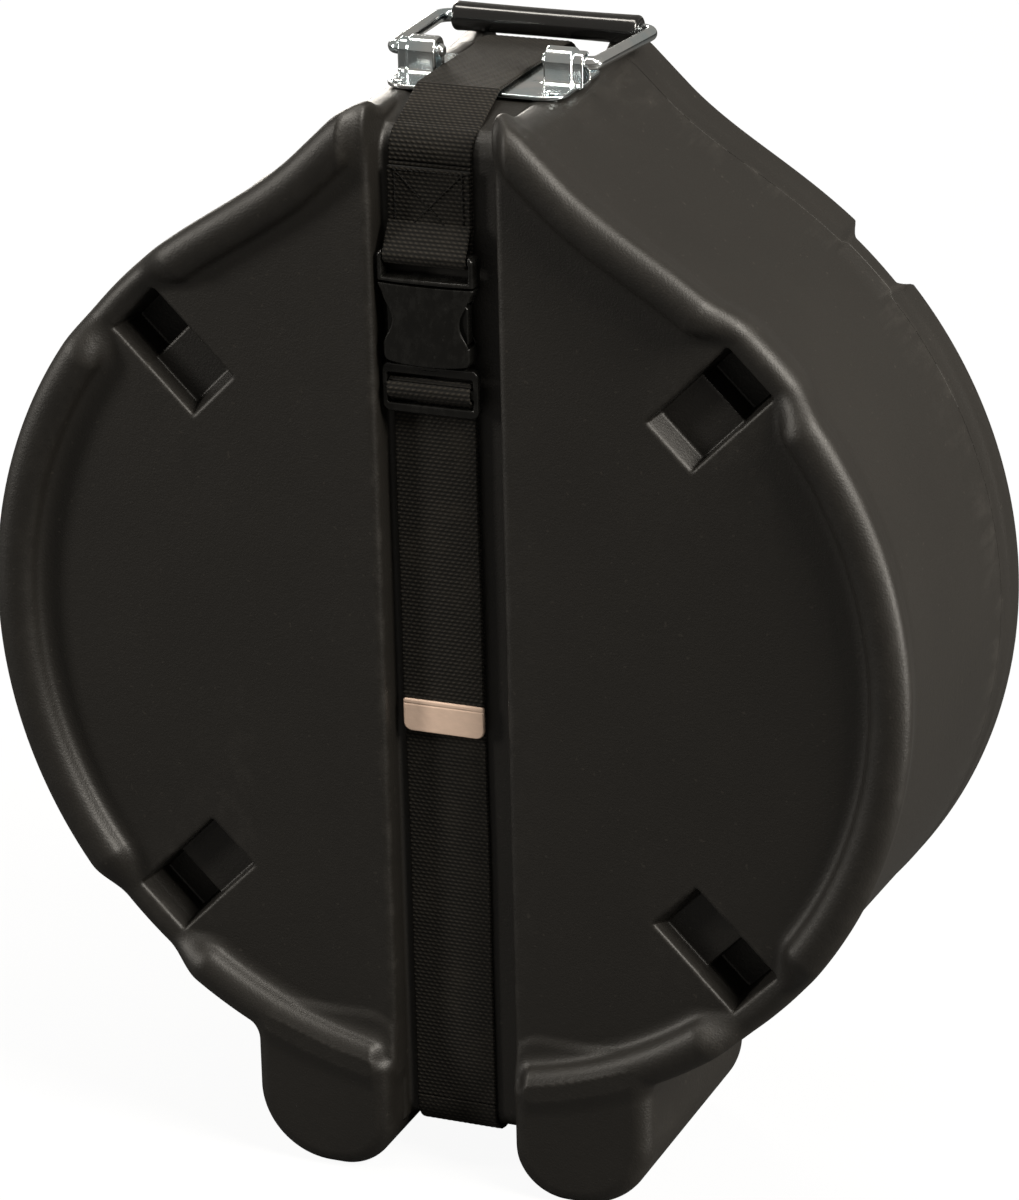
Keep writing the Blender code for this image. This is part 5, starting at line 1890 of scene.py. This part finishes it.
def polygon(first: Array, second: Array, corners: Sequence[Pair]) -> Array:
    """Signed distance to a flat polygon, negative inside.

    Args:
        first: First coordinates.
        second: Second coordinates.
        corners: Its corners in order.

    Returns:
        Signed distances.
    """
    nearest = np.full(first.shape, np.inf)
    inside = np.zeros(first.shape, bool)
    for (ax, az), (bx, bz) in zip(corners, list(corners[1:]) + [corners[0]]):
        ex, ez = bx - ax, bz - az
        px, pz = first - ax, second - az
        share = np.clip((px * ex + pz * ez) / (ex * ex + ez * ez), 0.0, 1.0)
        nearest = np.minimum(nearest, (px - ex * share) ** 2 + (pz - ez * share) ** 2)
        if az != bz:
            crosses = (second < az) != (second < bz)
            inside ^= crosses & (first < ax + ex * (second - az) / ez)
    return np.sqrt(nearest) * np.where(inside, -1.0, 1.0)


@dataclass
class Buckle:
    """Side-release buckle, by heights above the face's middle and depths behind the face."""

    middle: float = 0.253
    face: float = -0.072
    shift: float = 0.005
    top: float = 0.177
    mouth: float = 0.127
    bottom: float = 0.105
    half: float = 0.0222
    body_half: float = 0.020
    front: float = 0.0012
    back: float = 0.0128
    skin: float = 0.0018
    cavity_top: float = 0.160
    cavity_half: float = 0.0172
    window: Pair = (0.137, 0.157)
    bite: float = 0.0042
    shoulder: float = 0.163
    slot_half: float = 0.0196
    slot: Pair = (0.1656, 0.173)
    bar: Pair = (0.005, 0.009)
    flat: Pair = (0.0046, 0.0094)
    ladder: Pair = (0.109, 0.1176)
    slot_height: float = 0.0046
    tongue_half: float = 0.0034
    tongue_top: float = 0.155
    prong_x: float = 0.0118
    prong_width: float = 0.004
    prong_reach: float = 0.0186
    fit: float = 0.0003
    overrun: float = 0.01
    through: Pair = (-0.01, 0.03)
    bite_power: float = 1.3
    smile: float = 0.0014
    corner: float = 0.0030
    crown: float = 0.0013
    crown_power: float = 2.5
    edge: float = 0.0016
    groove_rise: float = 0.0002
    groove_half: float = 0.0005
    groove_depth: float = 0.0003
    groove_blend: float = 0.0004
    cavity_edge: float = 0.0007
    slot_edge: float = 0.0012
    bar_edge: float = 0.0006
    plug_corner: float = 0.0035
    plug_edge: float = 0.0010
    ladder_corner: float = 0.0008
    tongue_step: float = 0.0005
    tongue_root: float = 0.002
    prong_room: float = 0.0005
    prong_edge: float = 0.0007

    def local(self, x: Array, y: Array, z: Array) -> tuple[Array, ...]:
        """Distance from the strap's middle, height above the face's middle and depth."""
        return x + self.shift, z - self.middle, y - self.face

    def box(self, across: Array, height: Array, depth: Array, half: float,
            levels: Pair, depths: Pair) -> Array:
        """Distance to a box centred on the strap.

        Args:
            across, height, depth: The points.
            half: Half width.
            levels: Low and high end.
            depths: Front and rear end.

        Returns:
            Signed distances.
        """
        span = np.abs(height - sum(levels) / 2) - (levels[1] - levels[0]) / 2
        thick = np.abs(depth - sum(depths) / 2) - (depths[1] - depths[0]) / 2
        return np.maximum(np.maximum(np.abs(across) - half, span), thick)

    def housing(self, x: Array, y: Array, z: Array) -> Array:
        """Distance to the socket half, with its curved windows and the strap's bar.

        Args:
            x, y, z: The points.

        Returns:
            Signed distances.
        """
        across, height, depth = self.local(x, y, z)
        low, high = self.window
        turn = np.clip((height - low) / (high - low), 0.0, 1.0) * math.pi
        widen = 1 - fade(height, high, self.shoulder - high)
        edge = self.body_half - self.bite * np.sin(turn) ** self.bite_power
        edge = edge + (self.half - self.body_half) * widen
        smile = self.smile * (across / self.body_half) ** 2 * (height < self.window[0])
        ends = np.abs(height - smile - (self.mouth + self.top) / 2) - (self.top - self.mouth) / 2
        outline = round_max(np.abs(across) - edge, ends, self.corner)
        crown = self.crown * np.clip(np.abs(across) / self.body_half, 0, 1) ** self.crown_power
        slab = np.abs(depth - (self.front + self.back) / 2) - (self.back - self.front) / 2 + crown
        body = round_max(outline, slab, self.edge)
        groove = np.abs(height - self.shoulder - self.groove_rise) - self.groove_half
        groove = np.maximum(groove, self.front + self.groove_depth - depth)
        body = smooth_max(body, -groove, self.groove_blend)
        deep = (self.front + self.skin, self.back - self.skin)
        cavity = self.box(across, height, depth, self.cavity_half,
                          (self.mouth - self.overrun, self.cavity_top), deep)
        windows = self.box(across, height, depth, self.half + self.overrun, self.window, deep)
        body = smooth_max(body, -np.minimum(cavity, windows), self.cavity_edge)
        slot = self.box(across, height, depth, self.slot_half, self.slot, self.through)
        body = smooth_max(body, -slot, self.slot_edge)
        trim = np.maximum(np.abs(across) - self.slot_half, self.slot[1] - self.fit - height)
        bar = np.abs(depth - sum(self.bar) / 2) - (self.bar[1] - self.bar[0]) / 2
        return round_max(body, -np.maximum(trim, -bar), self.bar_edge)

    def plug(self, x: Array, y: Array, z: Array) -> Array:
        """Distance to the plug's strap frame and tongue.

        Args:
            x, y, z: The points.

        Returns:
            Signed distances.
        """
        across, height, depth = self.local(x, y, z)
        high = self.mouth - self.fit
        outline = rounded_box(across, height - (self.bottom + high) / 2,
                              (self.half, (high - self.bottom) / 2), self.plug_corner)
        slab = np.abs(depth - sum(self.bar) / 2) - (self.bar[1] - self.bar[0]) / 2
        body = round_max(outline, slab, self.plug_edge)
        for level in self.ladder:
            slot = rounded_box(across, height - level - self.slot_height / 2,
                               (self.slot_half, self.slot_height / 2), self.ladder_corner)
            body = smooth_max(body, -slot, self.plug_edge)
        tongue = self.box(across, height, depth, self.tongue_half - self.tongue_step * (height > high),
                          (high - self.tongue_root, self.tongue_top), self.flat)
        return np.minimum(body, tongue)

    def prong_outline(self) -> list[Pair]:
        """Outline of the right prong, from its root up."""
        root, width, face = self.mouth, self.prong_width, self.prong_reach
        inner, outer = self.prong_x - width / 2, self.prong_x + width / 2
        low, high = self.window[0] + self.prong_room, self.window[1] - self.prong_room * 2
        return [(inner, root), (outer, root), (outer + width / 2, low - width / 2),
                (face, low + width / 4), (face, high - width / 2), (face - width / 2, high),
                (outer, high + width / 2), (inner + width / 2, high), (inner + width / 2, low)]

    def prong(self, hand: int) -> Field:
        """Field of one prong: 1 for the right one, -1 for the left one.

        Args:
            hand: 1 or -1, for its side.

        Returns:
            The field.
        """
        corners = self.prong_outline()

        def field(x: Array, y: Array, z: Array) -> Array:
            """Distance to the prong.

            Args:
                x, y, z: The points.

            Returns:
                Signed distances.
            """
            across, height, depth = self.local(x, y, z)
            outline = polygon(across * hand, height, corners)
            slab = np.abs(depth - sum(self.flat) / 2) - (self.flat[1] - self.flat[0]) / 2
            return round_max(outline, slab, self.prong_edge)

        return field

    def build(self, materials: Palette, mesher: FieldMesher) -> None:
        """Mesh the four pieces of the buckle.

        Args:
            materials: The finishes by slot.
            mesher: Mesher for the fields.
        """
        for node, field, body in (
                ("buckle_housing", self.housing, Body.SOCKET), ("buckle_plug", self.plug, Body.FRONT),
                ("buckle_prong_left", self.prong(-1), Body.LEFT_PRONG),
                ("buckle_prong_right", self.prong(1), Body.RIGHT_PRONG)):
            low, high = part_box(node)
            made = mesher.build(f"{node}_moulding", field, low, high)
            dress(made, materials, Slot.BUCKLE, body, [node])


@dataclass
class StrapTip:
    """Moulded cap on the strap's free end."""

    corner: float = 0.004
    edge: float = 0.0007
    groove: float = 0.00035
    upper_corner: float = 0.0012
    groove_drop: float = 0.0022
    groove_edge: float = 0.0003

    def build(self, materials: Palette, mesher: FieldMesher) -> None:
        """Mesh the cap inside its node's box.

        Args:
            materials: The finishes by slot.
            mesher: Mesher for the fields.
        """
        low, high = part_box("strap_tip")
        middle, half = (Vector(low) + Vector(high)) / 2, (Vector(high) - Vector(low)) / 2

        def field(x: Array, y: Array, z: Array) -> Array:
            """Distance to the cap, with a faint groove under its upper edge.

            Args:
                x, y, z: The points.

            Returns:
                Signed distances.
            """
            upper, lower = (rounded_box(x - middle.x, z - middle.z, (half.x, half.z), corner)
                            for corner in (self.upper_corner, self.corner))
            outline = np.where(z > middle.z, upper, lower)
            cap = round_max(outline, np.abs(y - middle.y) - half.y, self.edge)
            ditch = np.hypot(z - (high[2] - self.groove_drop), y - low[1]) - self.groove
            return smooth_max(cap, -ditch, self.groove_edge)

        made = mesher.build("strap_tip_cap", field, low, high)
        dress(made, materials, Slot.TIP, Body.FRONT, ["strap_tip"])


@dataclass
class FoamLining:
    """Foam pads on both faces and foam strips round the wall."""

    shells: MouldedShells
    pad_radius: float = 0.142
    chord: float = 0.0335
    edge: float = 0.0025
    pillow: float = 0.0012
    liner: float = 0.008
    liner_top: float = 38.0
    liner_low: float = 144.0
    liner_gap: float = 0.0007
    liner_turn_radius: float = 0.2
    pillow_reach: float = 0.008

    def pad(self, hand: int, low: Vector, high: Vector) -> Field:
        """Field of one half-moon pad that fills a box.

        Args:
            hand: 1 or -1, for its side.
            low: Its box's low corner.
            high: Its box's high corner.

        Returns:
            The field.
        """
        middle_y, half_y = (low[1] + high[1]) / 2, (high[1] - low[1]) / 2

        def field(x: Array, y: Array, z: Array) -> Array:
            """Distance to the pad.

            Args:
                x, y, z: The points.

            Returns:
                Signed distances.
            """
            w = z - self.shells.middle
            outline = round_max(np.hypot(x, w) - self.pad_radius, self.chord - x * hand, self.edge)
            swell = self.pillow * np.exp(-np.maximum(-outline, 0.0) / self.pillow_reach)
            return round_max(outline, np.abs(y - middle_y) - half_y + swell, self.edge)

        return field

    def strip(self, hand: int, low: Vector, high: Vector) -> Field:
        """Field of one strip round the inside of the wall.

        Args:
            hand: 1 or -1, for its side.
            low: Its box's low corner.
            high: Its box's high corner.

        Returns:
            The field.
        """
        middle_y, half_y = (low[1] + high[1]) / 2, (high[1] - low[1]) / 2
        start, end = math.radians(self.liner_top), math.radians(self.liner_low)

        def field(x: Array, y: Array, z: Array) -> Array:
            """Distance to the strip.

            Args:
                x, y, z: The points.

            Returns:
                Signed distances.
            """
            w = z - self.shells.middle
            wall = self.shells.wall_outline(x, y, w) + self.shells.wall + self.liner_gap
            layer = np.abs(wall + self.liner / 2) - self.liner / 2
            turn = np.arctan2(x * hand, w)
            ends = (np.abs(turn - (start + end) / 2) - (end - start) / 2) * self.liner_turn_radius
            strip = round_max(layer, np.abs(y - middle_y) - half_y, self.edge)
            return round_max(strip, ends, self.edge)

        return field

    def build(self, materials: Palette, mesher: FieldMesher) -> None:
        """Args:
            materials: The finishes by slot.
            mesher: Mesher for the fields.
        """
        for word, hand in (("left", -1), ("right", 1)):
            for node, kind, body in ((f"front_foam_{word}", self.pad, Body.FRONT),
                                     (f"rear_foam_{word}", self.pad, Body.REAR),
                                     (f"wall_liner_{word}", self.strip, Body.FRONT)):
                low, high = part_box(node)
                made = mesher.build(f"{node}_pad", kind(hand, low, high), low, high)
                dress(made, materials, Slot.FOAM, body, [node])


@dataclass(frozen=True)
class Lamp:
    """One soft box: name, place, width and height of its face, and watts."""

    name: str
    place: Colour
    size: Pair
    power: float


@dataclass(frozen=True)
class Studio:
    """White studio: pale floor, soft light and the camera of the photograph."""

    azimuth: float = 22.626
    elevation: float = 21.086
    roll: float = -1.394
    distance: float = 2.2216
    aim: Colour = (0.0313, -0.072, 0.2805)
    lens: float = 156.67
    floor_size: float = 14.0
    floor_shade: float = 0.80
    floor_bounce: float = 0.09
    ambient: float = 0.10
    reflected: float = 0.27
    warmth: Colour = (1.0, 0.945, 0.86)
    sensor: float = 36.0
    far: float = 60.0
    floor_glow: float = 0.94
    lamps: tuple[Lamp, ...] = (
        Lamp("key", (1.80, -0.62, 1.70), (0.8, 0.8), 84.0),
        Lamp("right", (2.1, 0.10, 0.05), (0.4, 0.7), 52.0),
        Lamp("left", (-1.8, -1.0, 0.9), (0.3, 0.9), 24.0),
        Lamp("top", (0.0, -0.2, 2.4), (2.0, 0.35), 30.0),
        Lamp("back", (-1.5, 2.1, 1.1), (0.7, 0.9), 46.0),
    )

    def camera(self) -> None:
        """Place the camera."""
        azimuth, elevation, roll = (math.radians(a) for a in (self.azimuth, self.elevation, self.roll))
        back = Vector((math.sin(azimuth) * math.cos(elevation),
                       -math.cos(azimuth) * math.cos(elevation), math.sin(elevation)))
        right = Vector((math.cos(azimuth), math.sin(azimuth), 0.0))
        up = back.cross(right)
        right, up = (right * math.cos(roll) + up * math.sin(roll),
                     up * math.cos(roll) - right * math.sin(roll))
        data = bpy.data.cameras.new("camera")
        data.lens = self.lens
        data.sensor_width = self.sensor
        data.clip_end = self.far
        made = bpy.data.objects.new("camera", data)
        turn = Matrix((right, up, back)).transposed().to_4x4()
        made.matrix_world = Matrix.Translation(Vector(self.aim) + back * self.distance) @ turn
        bpy.context.scene.collection.objects.link(made)
        bpy.context.scene.camera = made

    def floor(self) -> None:
        """Lay a pale floor that keeps a faint shadow."""
        half = self.floor_size / 2
        mesh = bpy.data.meshes.new("floor")
        mesh.from_pydata([(-half, -half, 0), (half, -half, 0), (half, half, 0), (-half, half, 0)], [],
                         [(0, 1, 2, 3)])
        made = bpy.data.objects.new("floor", mesh)
        finish, canvas = finish_canvas("floor")
        rays = canvas.out("ShaderNodeLightPath", output="Is Camera Ray")
        shade = canvas.mix(rays, (self.floor_bounce,) * 3, (self.floor_shade,) * 3)
        matt = canvas.out("ShaderNodeBsdfDiffuse", {}, {"Color": shade})
        bright = canvas.out("ShaderNodeEmission", {}, {"Strength": 1.0})
        canvas.add("ShaderNodeOutputMaterial", {}, {
            "Surface": canvas.out("ShaderNodeMixShader", {},
                                  {0: rays * self.floor_glow, 1: matt, 2: bright})})
        mesh.materials.append(finish)
        bpy.context.scene.collection.objects.link(made)

    def world(self) -> None:
        """Light the object evenly and warmly, and show white to the camera."""
        world = bpy.data.worlds.new("studio")
        world.use_nodes = True
        canvas = Canvas(world.node_tree)
        path = canvas.add("ShaderNodeLightPath")
        seen = Wire(canvas, path.outputs["Is Camera Ray"])
        glossy = Wire(canvas, path.outputs["Is Glossy Ray"])
        strength = glossy * (self.reflected - self.ambient) + self.ambient
        soft = canvas.out("ShaderNodeBackground", {}, {"Color": (*self.warmth, 1.0), 1: strength})
        white = canvas.out("ShaderNodeBackground", {}, {"Color": (1.0, 1.0, 1.0, 1.0), 1: 1.0})
        canvas.add("ShaderNodeOutputWorld", {}, {
            "Surface": canvas.out("ShaderNodeMixShader", {}, {0: seen, 1: soft, 2: white})})
        bpy.context.scene.world = world

    def hang(self, lamp: Lamp) -> None:
        """Hang one soft box that faces the case.

        Args:
            lamp: The soft box.
        """
        data = bpy.data.lights.new(lamp.name, "AREA")
        data.shape = "RECTANGLE"
        data.size, data.size_y = lamp.size
        data.energy = lamp.power
        data.color = self.warmth
        made = bpy.data.objects.new(lamp.name, data)
        place = Vector(lamp.place)
        toward = Vector(self.aim) - place
        made.matrix_world = (Matrix.Translation(place)
                             @ toward.to_track_quat("-Z", "Y").to_matrix().to_4x4())
        bpy.context.scene.collection.objects.link(made)

    def build(self) -> None:
        """Set the whole stage."""
        self.camera()
        self.floor()
        self.world()
        for lamp in self.lamps:
            self.hang(lamp)
        bpy.context.scene.view_settings.view_transform = "Standard"


def dress_frame(materials: Palette) -> None:
    """Give every CAD node that still shows the procedural finish of its own slot.

    Args:
        materials: The finishes by slot.
    """
    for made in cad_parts.values():
        if made.hide_render:
            continue
        slot = Slot(made.data.materials[0].name.split(".")[0])
        made.data.materials.clear()
        made.data.materials.append(materials[slot])


def main() -> None:
    """Build the case and its stage."""
    logging.basicConfig(level=logging.INFO, format="%(name)s: %(message)s")
    materials = Finishes().build()
    Studio().build()
    shells = MouldedShells()
    shells.build(materials, FieldMesher(FULL_SHELL))
    Strap().build(materials)
    fine = FieldMesher(FULL_FINE)
    Handle().build(materials, fine)
    Buckle().build(materials, fine)
    StrapTip().build(materials, fine)
    FoamLining(shells).build(materials, FieldMesher(FULL_FOAM))
    dress_frame(materials)


if __name__ == "__main__":
    main()
